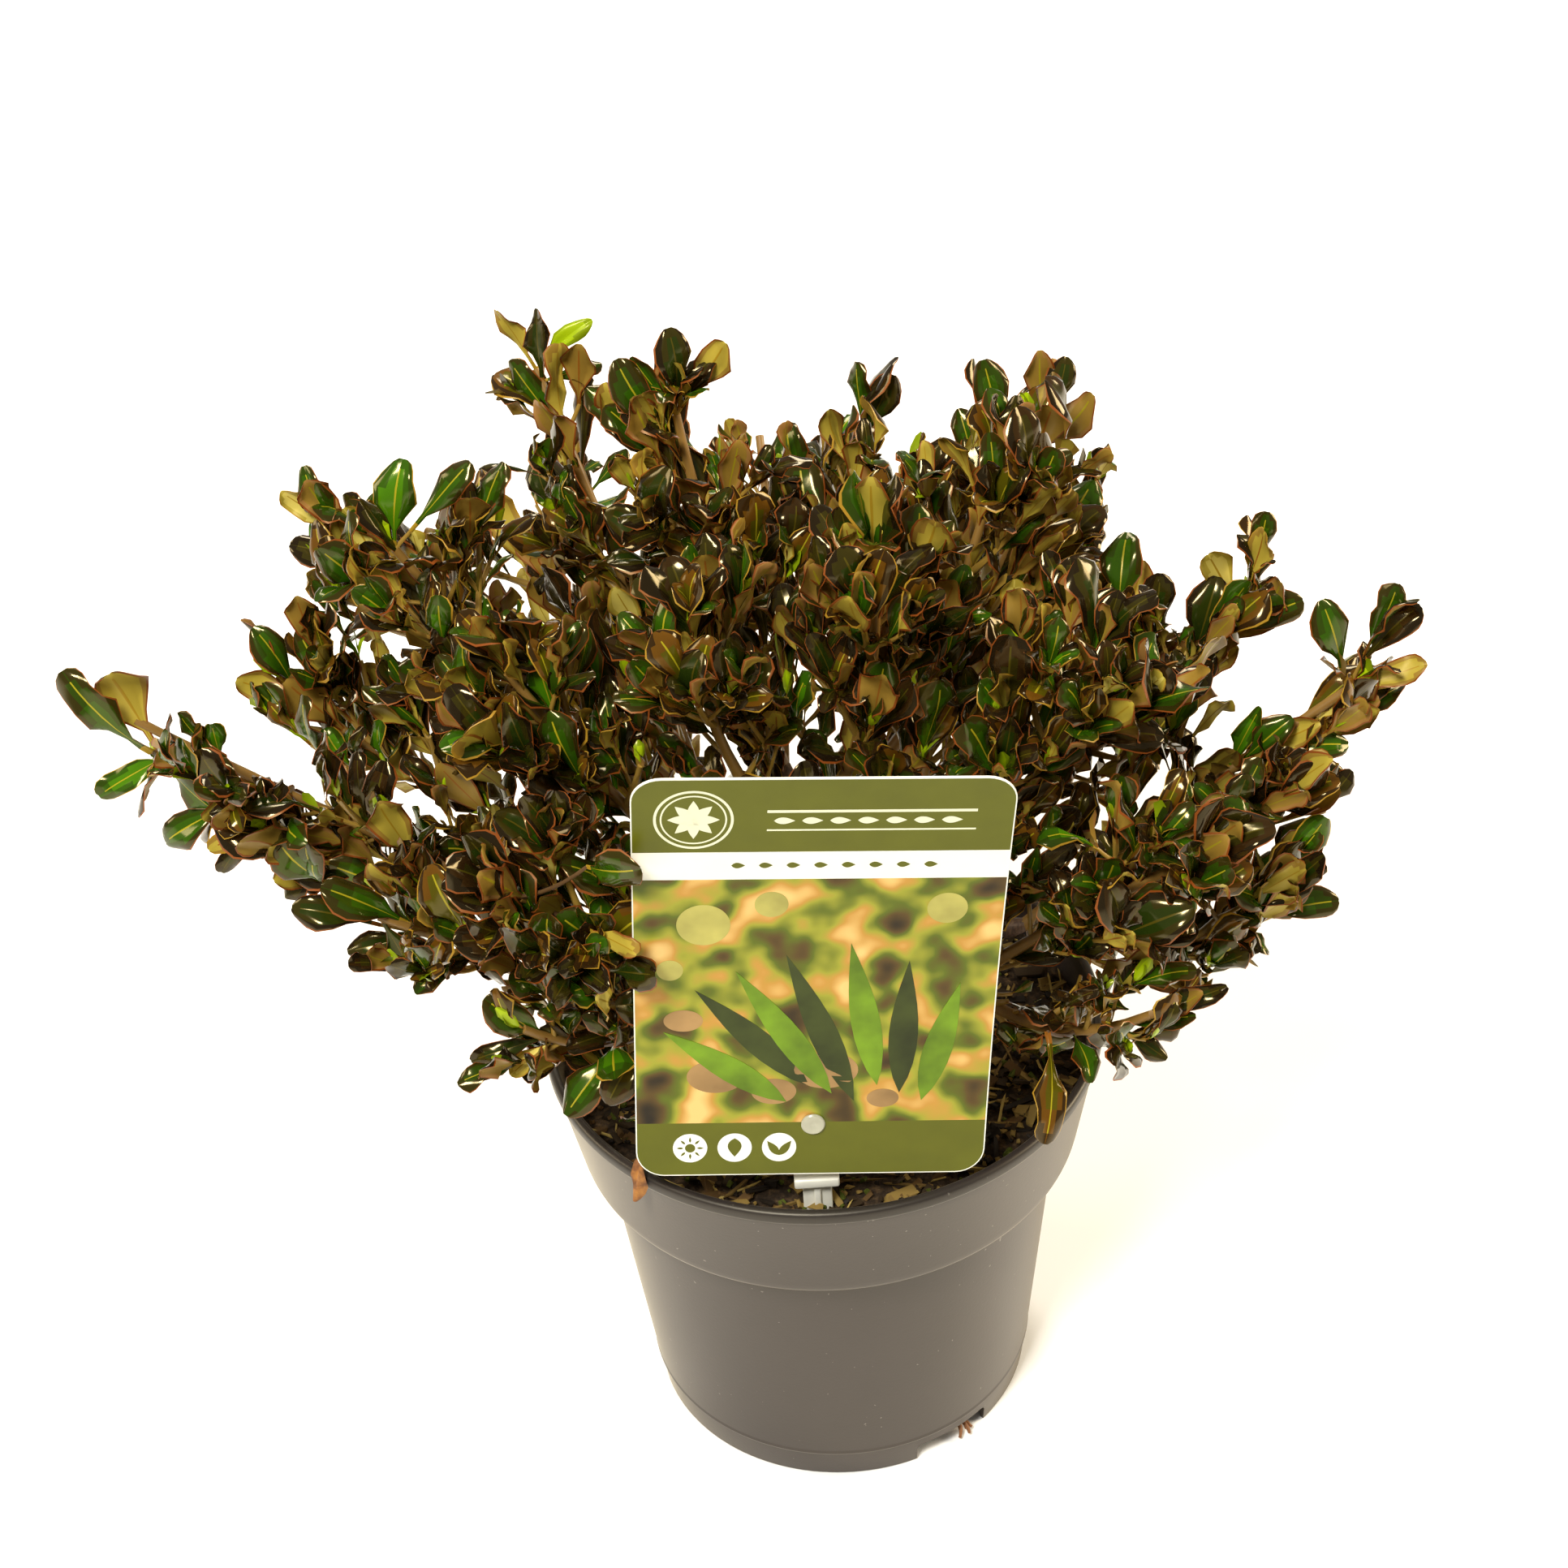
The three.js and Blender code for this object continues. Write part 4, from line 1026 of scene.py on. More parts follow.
def grow_twig(shoot, limb, share, bearing, opening, length, shortest, room):
    """The longest twig whose outer two thirds keep to the shoot's own space, or none"""
    foot = limb.point(share)
    heading = branch_direction(limb.heading(share), bearing, opening)
    while length >= shortest:
        twig = Curve(foot, foot + heading * length * TWIG_BEND,
                     foot + heading * length + UP * length * TWIG_RISE)
        places = twig.line(6)[2:]
        if in_own_space(shoot, places, room).all() and not on_open_sight(places).any():
            return twig
        length *= SHORTENING
    return None


def grow_twigs(shoot, limb):
    """The twigs that the shoot's stem bears, as its seed deals them"""
    roll = dice(shoot + TWIG_SEED)
    twigs = []
    for node, share in enumerate(TWIG_NODES):
        for side in (0, 180):
            bearing = TWIG_FIRST_BEARING + 90 * node + side + roll(-22, 22)
            opening = TWIG_OPENING + roll(-8, 8)
            length = TWIG_LENGTH * (TWIG_TAPER[0] - TWIG_TAPER[1] * share) * roll(0.8, 1.15)
            twigs.append(grow_twig(
                shoot, limb, share, bearing, opening, length, SHORTEST_TWIG, TWIG_ROOM))
    return [twig for twig in twigs if twig]


def grow_fine(shoot, limb, nodes, length, roll):
    """Finer twigs, in the quarter turns between the larger ones"""
    twigs = []
    for node, share in enumerate(nodes):
        for side in (0, 180):
            bearing = 90 * node + side + roll(-30, 30)
            opening = FINE_OPENING + roll(-10, 10)
            reach = length * roll(0.75, 1.2) * (FINE_TAPER[0] - FINE_TAPER[1] * share)
            foot_share = share + roll(-0.03, 0.03)
            twigs.append(grow_twig(
                shoot, limb, foot_share, bearing, opening, reach, SHORTEST_FINE, FINE_ROOM))
    return [twig for twig in twigs if twig]


def deal_family(roll):
    """Mostly green-cored leaves, then dark ones, with a few bright or bronze"""
    pick = roll(0, 1)
    return next(family for family, bound in enumerate(FAMILY_BOUNDS) if pick < bound)


def leaf_pair(limb, bearing, share, opening, length, size, roll, out, family=None):
    """Two leaves across a limb from each other, each turned to show one face outwards"""
    ahead = limb.heading(share)
    foot = limb.point(share)
    for side in (0, 180):
        turn = bearing + side + roll(-24, 24)
        lean = opening + roll(-11, 11)
        heading = unit(branch_direction(ahead, turn, lean) + LEAF_RISE * UP)
        face = branch_direction(ahead, turn, lean - 90)
        outward = unit(unit(foot - trunk_head) + LIGHT_SIDE)
        face += outward * (LEAF_TURN if face @ outward > FACES_IN else -LEAF_TURN)
        face = unit(face - heading * (face @ heading))
        out.append((foot, heading, face, length * roll(0.78, 1.15), size,
                    deal_family(roll) if family is None else family))


def dress(limb, leaves, roll, out, crowned=False):
    """Leaf pairs, axil tufts and a rosette at the tip, less full if placed leaves crown the limb"""
    start, tip_length, spread, foot_length = leaves
    tip_length *= roll(*spread)
    nodes = max(2, round(limb.length() * (1 - start) / NODE_SPACING))
    quarter = roll(0, 90)
    for node in range(nodes):
        share = start + (1 - start) * (node + 0.5) / nodes
        bearing = quarter + 90 * node
        near_tip = share ** 2
        length = foot_length + (tip_length - foot_length) * near_tip
        opening = LEAF_OPENING - LEAF_CLOSING * near_tip
        size = LARGE if length > LARGE_FROM else MEDIUM if length > MEDIUM_FROM else SMALL
        leaf_pair(limb, bearing, share, opening, length, size, roll, out)
        if share < TUFT_UP_TO and roll(0, 1) < TUFT_CHANCE:
            length *= roll(0.45, 0.65)
            bearing += roll(-15, 15)
            leaf_pair(limb, bearing, share, opening - TUFT_CLOSING, length, SMALL, roll, out)
    last = quarter + 90 * nodes
    if not crowned:
        size = LARGE if tip_length > OUTER_LARGE_FROM else MEDIUM
        leaf_pair(limb, last, *OUTER_PAIR, tip_length, size, roll, out)
    size = LARGE if tip_length > INNER_LARGE_FROM and not crowned else MEDIUM
    length = tip_length * (CROWNED_INNER_SHARE if crowned else INNER_SHARE)
    leaf_pair(limb, last + 90, *INNER_PAIR, length, size, roll, out)
    leaf_pair(limb, last, *HEART_PAIR, tip_length * HEART_SHARE, SMALL, roll, out, YOUNG)


def cut_back(limb, steps, feet):
    """A twig's line of points, as far as the last leaf or twig that it bears, or none"""
    gaps = np.linalg.norm(limb.line(CUT_STEPS)[:, None] - feet, axis=-1).min(axis=1)
    last = np.flatnonzero(gaps < CUT_GAP).max(initial=0) / CUT_STEPS
    return limb.point(np.linspace(0, last, steps + 1)) if last > SHORTEST_STUB else None


def leaves_part(shoot, wanted, roll):
    """The leaves that keep to the shoot's own space and clear of the open sights, and their feet"""
    parts, tips, middles, spots = [], [], [], []
    for foot, ahead, face, length, size, family in wanted:
        corners, faces, zones = moulds[size][int(roll(0, MOULDS_OF_A_SIZE - 0.001))]
        axes = np.array([np.cross(ahead, face) * roll(0.85, 1.15), ahead, face])
        placed = corners @ axes * length + foot
        parts.append((placed, faces, family_paints[family][zones]))
        tips.append(placed[np.linalg.norm(corners, axis=1).argmax()])
        middles.append((placed[corners[:, 0].argmin()] + placed[corners[:, 0].argmax()]) / 2)
        spots.append(placed[np.linspace(0, len(corners) - 1, LEAF_SPOTS).astype(int)])
    fine = in_own_space(shoot, np.array(tips), 0.0) & in_own_space(shoot, np.array(middles), 0.0)
    crossing = on_open_sight(np.concatenate(spots)).reshape(-1, LEAF_SPOTS).sum(axis=1)
    kept = np.flatnonzero(fine & (crossing < 2))
    return [parts[i] for i in kept], [wanted[i][0] for i in kept]


# The large leaves that crown the outermost shoots: each leaf's tip, the side it shows to the
# front and, where it stands lower than the rest, how far along the stem
UPPER, UNDERSIDE, YOUNG_LEAF = range(3)
CROWNING = {
    "left_far": [((-225, -4, 276), UPPER, 0.88), ((-192, -4, 241), UPPER, 0.66),
                 ((-207, -2, 252), UPPER, 0.7), ((-172, -18, 248), UNDERSIDE, 0.45),
                 ((-194, -2, 304), UPPER, 0.8), ((-184, -4, 300), UPPER, 0.8)],
    "left_mid": [((-175, 38, 306), UPPER), ((-183, 40, 286), UNDERSIDE)],
    "left_up": [((-168, 94, 322), UNDERSIDE), ((-160, 96, 330), UPPER), ((-147, 90, 317), UNDERSIDE),
                ((-137, 96, 318), UPPER), ((-168, 92, 302), UPPER, 0.85)],
    "left_high": [((-119, 36, 367), UPPER), ((-97, 32, 366), UPPER), ((-87, 34, 364), UPPER, 0.8)],
    "top_left": [((-91, 108, 377), UNDERSIDE), ((-77, 108, 376), UPPER), ((-60, 108, 371), YOUNG_LEAF),
                 ((-88, 108, 358), UPPER), ((-62, 106, 318), UPPER, 0.75),
                 ((-58, 106, 355), UPPER, 0.97), ((-70, 92, 330), UPPER, 0.75),
                 ((-52, 96, 328), UPPER, 0.7)],
    "top_centre": [((-35, 64, 390), UPPER), ((-16, 66, 382), UNDERSIDE), ((-46, 66, 380), UPPER),
                   ((-52, 66, 379), UPPER, 0.85), ((-62, 80, 362), UPPER, 0.75),
                   ((-60, 62, 325), UPPER, 0.6), ((-48, 60, 324), UNDERSIDE, 0.6)],
    "top_mid": [((26, 112, 346), UPPER), ((38, 112, 340), UPPER), ((16, 110, 330), UNDERSIDE)],
    "top_right": [((69, 120, 339), UPPER, 0.75), ((87, 120, 341), UNDERSIDE), ((96, 122, 337), UPPER),
                  ((106, 118, 323), UNDERSIDE), ((60, 118, 322), UPPER, 0.6)],
    "right_up": [((154, 52, 315), UPPER), ((135, 50, 302), UNDERSIDE), ((166, 48, 283), UPPER),
                 ((145, 46, 267), UNDERSIDE, 0.6), ((120, 52, 294), UPPER, 0.6),
                 ((112, 84, 290), UPPER, 0.5), ((118, 78, 282), UNDERSIDE, 0.5),
                 ((137, 50, 293), UPPER, 0.8)],
    "right_far": [((161, 0, 315), UPPER), ((186, 2, 318), UPPER), ((196, -2, 290), UNDERSIDE),
                  ((145, 0, 275), UPPER, 0.62), ((154, -2, 273), UPPER, 0.66),
                  ((163, -4, 271), UNDERSIDE, 0.7), ((137, -4, 262), UNDERSIDE, 0.45),
                  ((173, -2, 261), UPPER, 0.72), ((172, -4, 250), UPPER, 0.6)],
    "right_low": [((168, -26, 216), UPPER), ((146, -28, 196), UPPER), ((153, -14, 232), UNDERSIDE),
                  ((163, -24, 248), UPPER, 0.85), ((142, -34, 203), UPPER, 0.8)],
    "right_bottom": [((116, -68, 207), UPPER), ((107, -68, 190), UPPER), ((127, -62, 213), UPPER, 0.9),
                     ((83, -72, 186), UPPER, 0.6)],
    "left_low": [((-149, -38, 233), UPPER), ((-129, -40, 222), UPPER),
                 ((-164, -38, 251), UPPER, 0.85), ((-153, -42, 262), UPPER, 0.75)],
    "left_bottom": [((-112, -66, 209), UPPER), ((-100, -68, 203), UNDERSIDE), ((-105, -66, 233), UPPER)],
}
CROWNING_ROOTS = (1.0, 0.96, 0.92, 0.88, 0.84)
CROWNING_FAMILIES = (0, 2, 0, 1)
SHORTEST_CROWNING = 25.0
LONGEST_CROWNING = 32.0
CROWNING_LEAN = 0.35
YOUNG_WIDTH = 0.5
SHOOT_SEED = 900
LONG_TWIG_SAG = 5.0


def laid_leaf(root, tip, face, mould, slots, width=1.0):
    """One large leaf from its root to its tip, facing the given way"""
    corners, faces, zones = moulds[LARGE][mould]
    own_tip = corners[np.linalg.norm(corners, axis=1).argmax()]
    own_ahead = unit(own_tip)
    own_face = unit(UP - own_ahead * own_ahead[2])
    own_axes = np.array([np.cross(own_ahead, own_face), own_ahead, own_face])
    root, tip, face = (np.array(place, float) for place in (root, tip, face))
    ahead = unit(tip - root)
    face = unit(face - ahead * (face @ ahead))
    axes = np.array([np.cross(ahead, face) * width, ahead, face])
    scale = np.linalg.norm(tip - root) / np.linalg.norm(own_tip)
    return corners @ own_axes.T @ axes * scale + root, faces, slots[zones]


def crowning_leaves(name, stem, roll):
    """The placed leaves at a shoot's tip, and the twigs that carry those beyond its reach"""
    blades, carriers = [], []
    for tip, side, *shares in CROWNING.get(name, ()):
        for share in shares or CROWNING_ROOTS:
            root = stem.point(share)
            reach = np.linalg.norm(tip - root)
            if reach >= SHORTEST_CROWNING:
                break
        longest = LONGEST_CROWNING * roll(0.84, 1.03)
        if reach > longest:
            foot, root = root, root + (tip - root) * (1 - longest / reach)
            carriers.append(Curve(foot, (foot + root) / 2, root))
        face = unit(camera_spot - tip) + CROWNING_LEAN * stem.heading(1.0)
        face += (roll(-0.5, 0.5), 0, roll(-0.2, 0.2))
        if side == UNDERSIDE:
            face = -face
        family = YOUNG if side == YOUNG_LEAF else CROWNING_FAMILIES[int(roll(0, 3.999))]
        mould = int(roll(SLIM_MOULDS - 1, MOULDS_OF_A_SIZE - 0.001))
        width = roll(0.8, 1) * (YOUNG_WIDTH if side == YOUNG_LEAF else 1)
        blades.append(laid_leaf(root, tip, face, mould, family_paints[family], width))
    return blades, carriers


twig_materials = [
    plain("stem_brown", paint(88, 62, 32), 0.5),
    plain("stem_bronze", paint(132, 98, 42), 0.45),
    plain("stem_olive", paint(150, 118, 46), 0.4),
]
BROWN, BRONZE, OLIVE = range(len(twig_materials))
for number, (name, stem) in enumerate(shoots.items()):
    roll = dice(SHOOT_SEED + number)
    twigs = grow_twigs(number, stem)
    for share, tip in LONG_TWIGS.get(name, ()):
        foot = stem.point(share)
        twigs.append(Curve(foot, (foot + tip) / 2 - (0, 0, LONG_TWIG_SAG), np.array(tip, float)))
    crown_blades, carriers = crowning_leaves(name, stem, roll)
    fine = carriers + grow_fine(number, stem, FINE_NODES, FINE_LENGTH, roll)
    for twig in twigs:
        fine += grow_fine(number, twig, FINE_TWIG_NODES, FINE_TWIG_LENGTH, roll)
    wanted = []
    dress(stem, STEM_LEAVES, roll, wanted, name in CROWNING)
    for twig in twigs:
        dress(twig, TWIG_LEAVES, roll, wanted)
    for twig in fine:
        dress(twig, FINE_LEAVES, roll, wanted)
    blades, feet = leaves_part(number, wanted, roll)
    feet += [carrier.end for carrier in carriers]
    stem_radii = np.linspace(*STEM_RADIUS, STEM_STEPS + 1)
    wood = [tube(stem.line(STEM_STEPS), stem_radii, STEM_SIDES, BRONZE, STEM_RIDGES, number)]
    for limbs, radii, steps in ((fine, FINE_RADIUS, FINE_STEPS), (twigs, TWIG_RADIUS, TWIG_STEPS)):
        for limb in limbs:
            line = cut_back(limb, steps, feet)
            if line is not None:
                radii_here = np.linspace(*radii, steps + 1)
                wood.append(tube(line, radii_here, TWIG_SIDES, OLIVE, TWIG_RIDGES, number))
                feet.append(limb.start)
    branches = joined(f"twigs_{name}", wood, twig_materials, sharp_angle=60)
    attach(branches, "root")
    leaves = joined(f"leaves_{name}", blades + crown_blades, leaf_materials, sharp_angle=75)
    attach(leaves, "root")
    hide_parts(f"foliage_{name}")


# Single leaves: two broad ones end the furthest shoot on the left, and a few hang over the rim
# or over the card's left edge, each on a thin twig. A dried leaf has caught on the lip, and a
# few root ends show in the drain notch.
DRIED = ((-58, -64, 176), (-65.5, -76, 151.5), (-0.9, -0.5, 0.3))
DRIED_MOULD = 4
DRIED_WIDTH = 0.42
DRIED_ORANGE = paint(128, 78, 30)
ROOT_ORANGE = paint(120, 76, 40)
ROOT_SEED = 71
ROOT_COUNT = 4
ROOT_FIRST_BEARING = DRAIN_BEARINGS[0] + 3
ROOT_SPACING = 1.6
ROOT_RADIUS = (1.3, 0.5)
ROOT_STEPS = 8
HANGING_TWIG_SAG = 4.0
HANGING_TWIG_STEPS = 6
# Each hanging leaf's root and tip, the way it faces, its mould and its family
HANGING = [
    ((-202, -4, 290), (-210, -8, 325), (-0.2, 0.85, -0.45), 5, 0),
    ((-204, -6, 292), (-226, -8, 326), (-0.25, -0.85, 0.4), 2, 0),
    ((70, -62, 200), (67, -88, 176), (0.35, -0.85, 0.3), 2, 3),
    ((-56, -64, 212), (-69, -78, 196), (-0.2, -0.8, 0.6), 5, 4),
    ((-64, -60, 208), (-84, -74, 190), (-0.4, -0.6, 0.7), 4, 0),
    ((-68, -70, 286), (-51, -88, 299), (-0.3, -0.8, 0.3), 6, 0),
    ((-66, -72, 247), (-50, -88, 257), (0.2, -0.8, 0.5), 4, 1),
    ((-70, -70, 262), (-54, -87, 266), (0.2, 0.8, -0.4), 3, 0),
]
on_stems = np.concatenate([curve.line(30) for curve in shoots.values()])
blades, twigs = [], []
for root, tip, face, mould, family in HANGING:
    blades.append(laid_leaf(root, tip, face, mould, family_paints[family]))
    foot = on_stems[np.linalg.norm(on_stems - root, axis=1).argmin()]
    twig = Curve(foot, (foot + root) / 2 - (0, 0, HANGING_TWIG_SAG), np.array(root, float))
    radii = np.linspace(*FINE_RADIUS, HANGING_TWIG_STEPS + 1)
    twigs.append(tube(twig.line(HANGING_TWIG_STEPS), radii, TWIG_SIDES, BROWN, TWIG_RIDGES))
hanging = joined("hanging_leaves", blades, leaf_materials, sharp_angle=75)
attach(hanging, "root")
hanging_twigs = joined("hanging_twigs", twigs, twig_materials, sharp_angle=60)
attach(hanging_twigs, "root")


def dried_skin():
    material, tree, shader, place = textured("dried_leaf", DRIED_ORANGE, 0.55)
    streaks = ramp(tree, speckle(tree, place, scale=260, detail=3.0, roughness=0.6), [
        (0.3, paint(66, 36, 14)), (0.5, DRIED_ORANGE), (0.7, paint(172, 116, 48))])
    tree.links.new(streaks, shader.inputs["Base Color"])
    return material


one_paint = np.zeros(len(ZONES), int)
dried = joined("dried_leaf", [laid_leaf(*DRIED, DRIED_MOULD, one_paint, DRIED_WIDTH)],
               [dried_skin()], sharp_angle=75)
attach(dried, "root")


def root_ends():
    """Short crooked roots that have grown out of the notch at the front"""
    roll = dice(ROOT_SEED)
    radii = np.linspace(*ROOT_RADIUS, ROOT_STEPS + 1)
    parts = []
    for i in range(ROOT_COUNT):
        bearing = math.radians(ROOT_FIRST_BEARING + i * ROOT_SPACING)
        outward = np.array([math.cos(bearing), math.sin(bearing), 0])
        start = outward * (FOOT_RADIUS - 9) + (0, 0, 6 - i)
        bend = outward * (FOOT_RADIUS - 2) + (roll(-3, 3), 0, roll(4, 7))
        end = outward * (FOOT_RADIUS + roll(0.5, 2)) + (roll(-2, 2), 0, roll(1.2, 3))
        parts.append(tube(Curve(start, bend, end).line(ROOT_STEPS), radii, 6, 0, 0.3, i))
    return parts


root_orange = plain("root_orange", ROOT_ORANGE, 0.7)
roots = joined("root_ends", root_ends(), [root_orange], sharp_angle=60)
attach(roots, "root")


# Card: laminated, olive above and below a mottled picture, white between them and along the
# edge. It bows towards the back at mid height, and a rivet holds it to a cloudy clear stake.
CARD_HEIGHT = 156.0
CARD_THICKNESS = 0.8
CARD_CORNER = 9.0
CARD_BOW = 6.5
CARD_TILT = 4.4
CARD_BENDS = 26
CARD_SPREAD = 0.018
CARD_RISE = 1.8
CARD_CORNER_STEPS = 8
INK = 0.07
BORDER = 0.4
HEADER_FOOT = 49.0
PICTURE_TOP = 38.0
PICTURE_FOOT = -58.0
OLIVE_INK = paint(90, 92, 14)
CARD_WHITE = paint(236, 236, 224)
PALE_INK = paint(222, 222, 192)
# The picture's colours, from its darkest patches to its palest
PICTURE_HUES = [
    (0.28, paint(34, 26, 12)), (0.38, paint(84, 64, 26)), (0.45, paint(88, 100, 22)),
    (0.52, paint(150, 150, 46)), (0.58, paint(186, 138, 60)), (0.68, paint(226, 188, 116)),
]


def on_card(x, depth, z):
    """A place on the card, from its centre: across, behind the middle of its sheet, and up"""
    share = z / CARD_HEIGHT + 0.5
    x *= 1 + CARD_SPREAD * share
    z += CARD_RISE * share ** 3
    spot = Vector((x, depth - CARD_BOW * (2 * share - 1) ** 2, z))
    spot.rotate(Matrix.Rotation(math.radians(CARD_TILT), 3, "Y"))
    return (spot + Vector(CARD_CENTRE)) * MM


def box_outline(left, right, foot, top, corners=(0, 0, 0, 0)):
    """Rounded box, with corners from the top right round to the foot's right"""
    points = []
    places = [(right, top, 0), (left, top, 90), (left, foot, 180), (right, foot, 270)]
    for (x, z, start), radius in zip(places, corners):
        x += -radius if x == right else radius
        z += -radius if z == top else radius
        for i in range(CARD_CORNER_STEPS + 1 if radius else 1):
            turn = math.radians(start + 90 * i / CARD_CORNER_STEPS)
            points.append((x + radius * math.cos(turn), z + radius * math.sin(turn)))
    return points


def disc_outline(x, z, radius, tall=1.0, steps=40):
    return [(x + radius * math.cos(math.tau * i / steps),
             z + radius * tall * math.sin(math.tau * i / steps)) for i in range(steps)]


def blade_outline(x, z, length, width, bearing, steps=9):
    """A plain pointed leaf from its foot, at a bearing in degrees"""
    turn = math.radians(bearing)
    ahead, side = (math.cos(turn), math.sin(turn)), (-math.sin(turn), math.cos(turn))
    points = []
    for way in (1, -1):
        for i in range(steps):
            share = i / steps if way == 1 else 1 - i / steps
            out = way * width / 2 * math.sin(math.pi * share ** 0.8)
            points.append((x + ahead[0] * length * share + side[0] * out,
                           z + ahead[1] * length * share + side[1] * out))
    return points


def sheets(name, outlines, front, back, material):
    """Flat shapes that follow the card's bow, as one piece"""
    form = bmesh.new()
    for outline in outlines:
        corners = [form.verts.new((x, front, z)) for x, z in outline]
        made = bmesh.ops.extrude_face_region(form, geom=[form.faces.new(corners)])
        moved = [item for item in made["geom"] if isinstance(item, bmesh.types.BMVert)]
        bmesh.ops.translate(form, verts=moved, vec=(0, back - front, 0))
    for i in range(1, CARD_BENDS):
        height = CARD_HEIGHT * (i / CARD_BENDS - 0.5)
        bmesh.ops.bisect_plane(
            form, geom=form.verts[:] + form.edges[:] + form.faces[:], dist=0.0001,
            plane_co=(0, 0, height), plane_no=(0, 0, 1))
    bmesh.ops.recalc_face_normals(form, faces=form.faces)
    for vert in form.verts:
        vert.co = on_card(*vert.co)
    piece = show(name, mesh_of(form, name, sharp_angle=30), material)
    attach(piece, "root")
    return piece


def print_ink(name, colour, spread=0.06, scale=90):
    """An ink that a faint grain makes lighter and darker by a share"""
    material, tree, shader, place = textured(name, colour, 0.3)
    tint = ramp(tree, speckle(tree, place, scale, detail=3.0), [
        (0.3, tuple(c * (1 - spread) for c in colour)),
        (0.7, tuple(c * (1 + spread) for c in colour))])
    tree.links.new(tint, shader.inputs["Base Color"])
    shader.inputs["Specular IOR Level"].default_value = 0.2
    return material


def picture_ink():
    """A soft picture of a garden bed, out of focus: greens, tan and dark brown"""
    material, tree, shader, place = textured("picture_print", (0.1, 0.12, 0.04), 0.3)
    hue = ramp(tree, speckle(tree, place, scale=64, detail=1.5, roughness=0.4), PICTURE_HUES)
    tree.links.new(hue, shader.inputs["Base Color"])
    shader.inputs["Specular IOR Level"].default_value = 0.2
    return material


half = CARD_WIDTH / 2
front = -CARD_THICKNESS / 2
card_white = print_ink("card_white", CARD_WHITE, 0.02)
olive = print_ink("olive_ink", OLIVE_INK)
card = sheets(
    "card_sheet", [box_outline(-half, half, -CARD_HEIGHT / 2, CARD_HEIGHT / 2, [CARD_CORNER] * 4)],
    front, -front, card_white)
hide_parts("label_card")
edge = half - BORDER
top = CARD_HEIGHT / 2 - BORDER
corner = CARD_CORNER - BORDER
header = box_outline(-edge, edge, HEADER_FOOT, top, (corner, corner, 0, 0))
footer = box_outline(-edge, edge, -top, PICTURE_FOOT, (0, 0, corner, corner))
picture = box_outline(-edge, edge, PICTURE_FOOT, PICTURE_TOP)
sheets("card_header", [header], front - INK, front, olive)
sheets("card_footer", [footer], front - INK, front, olive)
sheets("card_picture", [picture], front - INK, front, picture_ink())

# Printed ornament: plain grasses, pebbles and pale patches on the picture, a ringed flower and
# two rules with leaf shapes above, a row of lozenges on the white band, and three small signs
# for sun, water and leaf along the foot.
GRASS_BLADES = 7
GRASS_FOOT = (34, -50)
GRASS_STEP = (7, 3)
GRASS_LENGTH = 62
GRASS_SHORTER = 5
GRASS_WIDTH = 9
GRASS_BEARING = 78
GRASS_FAN = 11
PEBBLES = [(-30, -40, 9), (-12, -46, 7), (4, -38, 10), (-40, -18, 6), (22, -49, 5)]
PEBBLE_SQUASH = 0.7
SUN_PATCHES = [(-34, 20, 8), (-14, 28, 5), (38, 26, 6), (-44, 2, 4)]
FLOWER_AT = (-37, 62)
FLOWER_PETALS = 8
FLOWER_PETAL_SIZE = (7.5, 3.4)
FLOWER_RINGS = [(11.5, 0.8), (9.6, 0.5)]
RULES = [(-16, 44, 64.6, 65.6), (-16, 44, 57.4, 58.0)]
RULE_LEAVES = range(-14, 40, 8)
RULE_LEAF_HEIGHT = 61.4
RULE_LEAF_SIZE = (6, 2.6)
LOZENGES = range(-26, 31, 8)
LOZENGE_HEIGHT = 43.6
LOZENGE_SIZE = (4, 2.2)
SIGN_HEIGHT = -67.5
SIGN_RADIUS = 5.4
SUN_SIGN, DROP_SIGN, SPRIG_SIGN = (-38, -24, -10)
SUN_RAYS = 8
SUN_RADIUS = 1.6
RAY_FOOT = 2.2
RAY_SIZE = (2, 0.7)


def ring_outlines(x, z, radius, width, steps=24):
    """A ring as two half bands, so that each is one plain outline"""
    bands = []
    for start in (0, 180):
        turns = [math.radians(start + 180 * i / steps) for i in range(steps + 1)]
        outer = [(x + radius * math.cos(turn), z + radius * math.sin(turn)) for turn in turns]
        inner = [(x + (radius - width) * math.cos(turn), z + (radius - width) * math.sin(turn))
                 for turn in reversed(turns)]
        bands.append(outer + inner)
    return bands


def printed(name, outlines, layers, ink):
    """Ink that stands up from the card's face by a number of layers"""
    sheets(f"print_{name}", outlines, front - layers * INK, front, ink)


pale = print_ink("pale_ink", PALE_INK, 0.03)
grasses = []
for i in range(GRASS_BLADES):
    x, z = GRASS_FOOT[0] - GRASS_STEP[0] * i, GRASS_FOOT[1] + GRASS_STEP[1] * (i % 3)
    length = GRASS_LENGTH - GRASS_SHORTER * abs(i - GRASS_BLADES // 2)
    grasses.append(blade_outline(x, z, length, GRASS_WIDTH, GRASS_BEARING + GRASS_FAN * i))
printed("grass", grasses[::2], 3, print_ink("grass_green", paint(98, 128, 22), 0.4, 70))
printed("grass_dark", grasses[1::2], 2, print_ink("grass_dark", paint(50, 58, 18), 0.4, 70))
printed("pebbles", [disc_outline(*pebble, PEBBLE_SQUASH) for pebble in PEBBLES], 2,
        print_ink("pebble_tan", paint(150, 118, 74), 0.3, 60))
printed("sun_patches", [disc_outline(*patch) for patch in SUN_PATCHES], 2,
        print_ink("patch_light", paint(176, 168, 88), 0.25, 60))
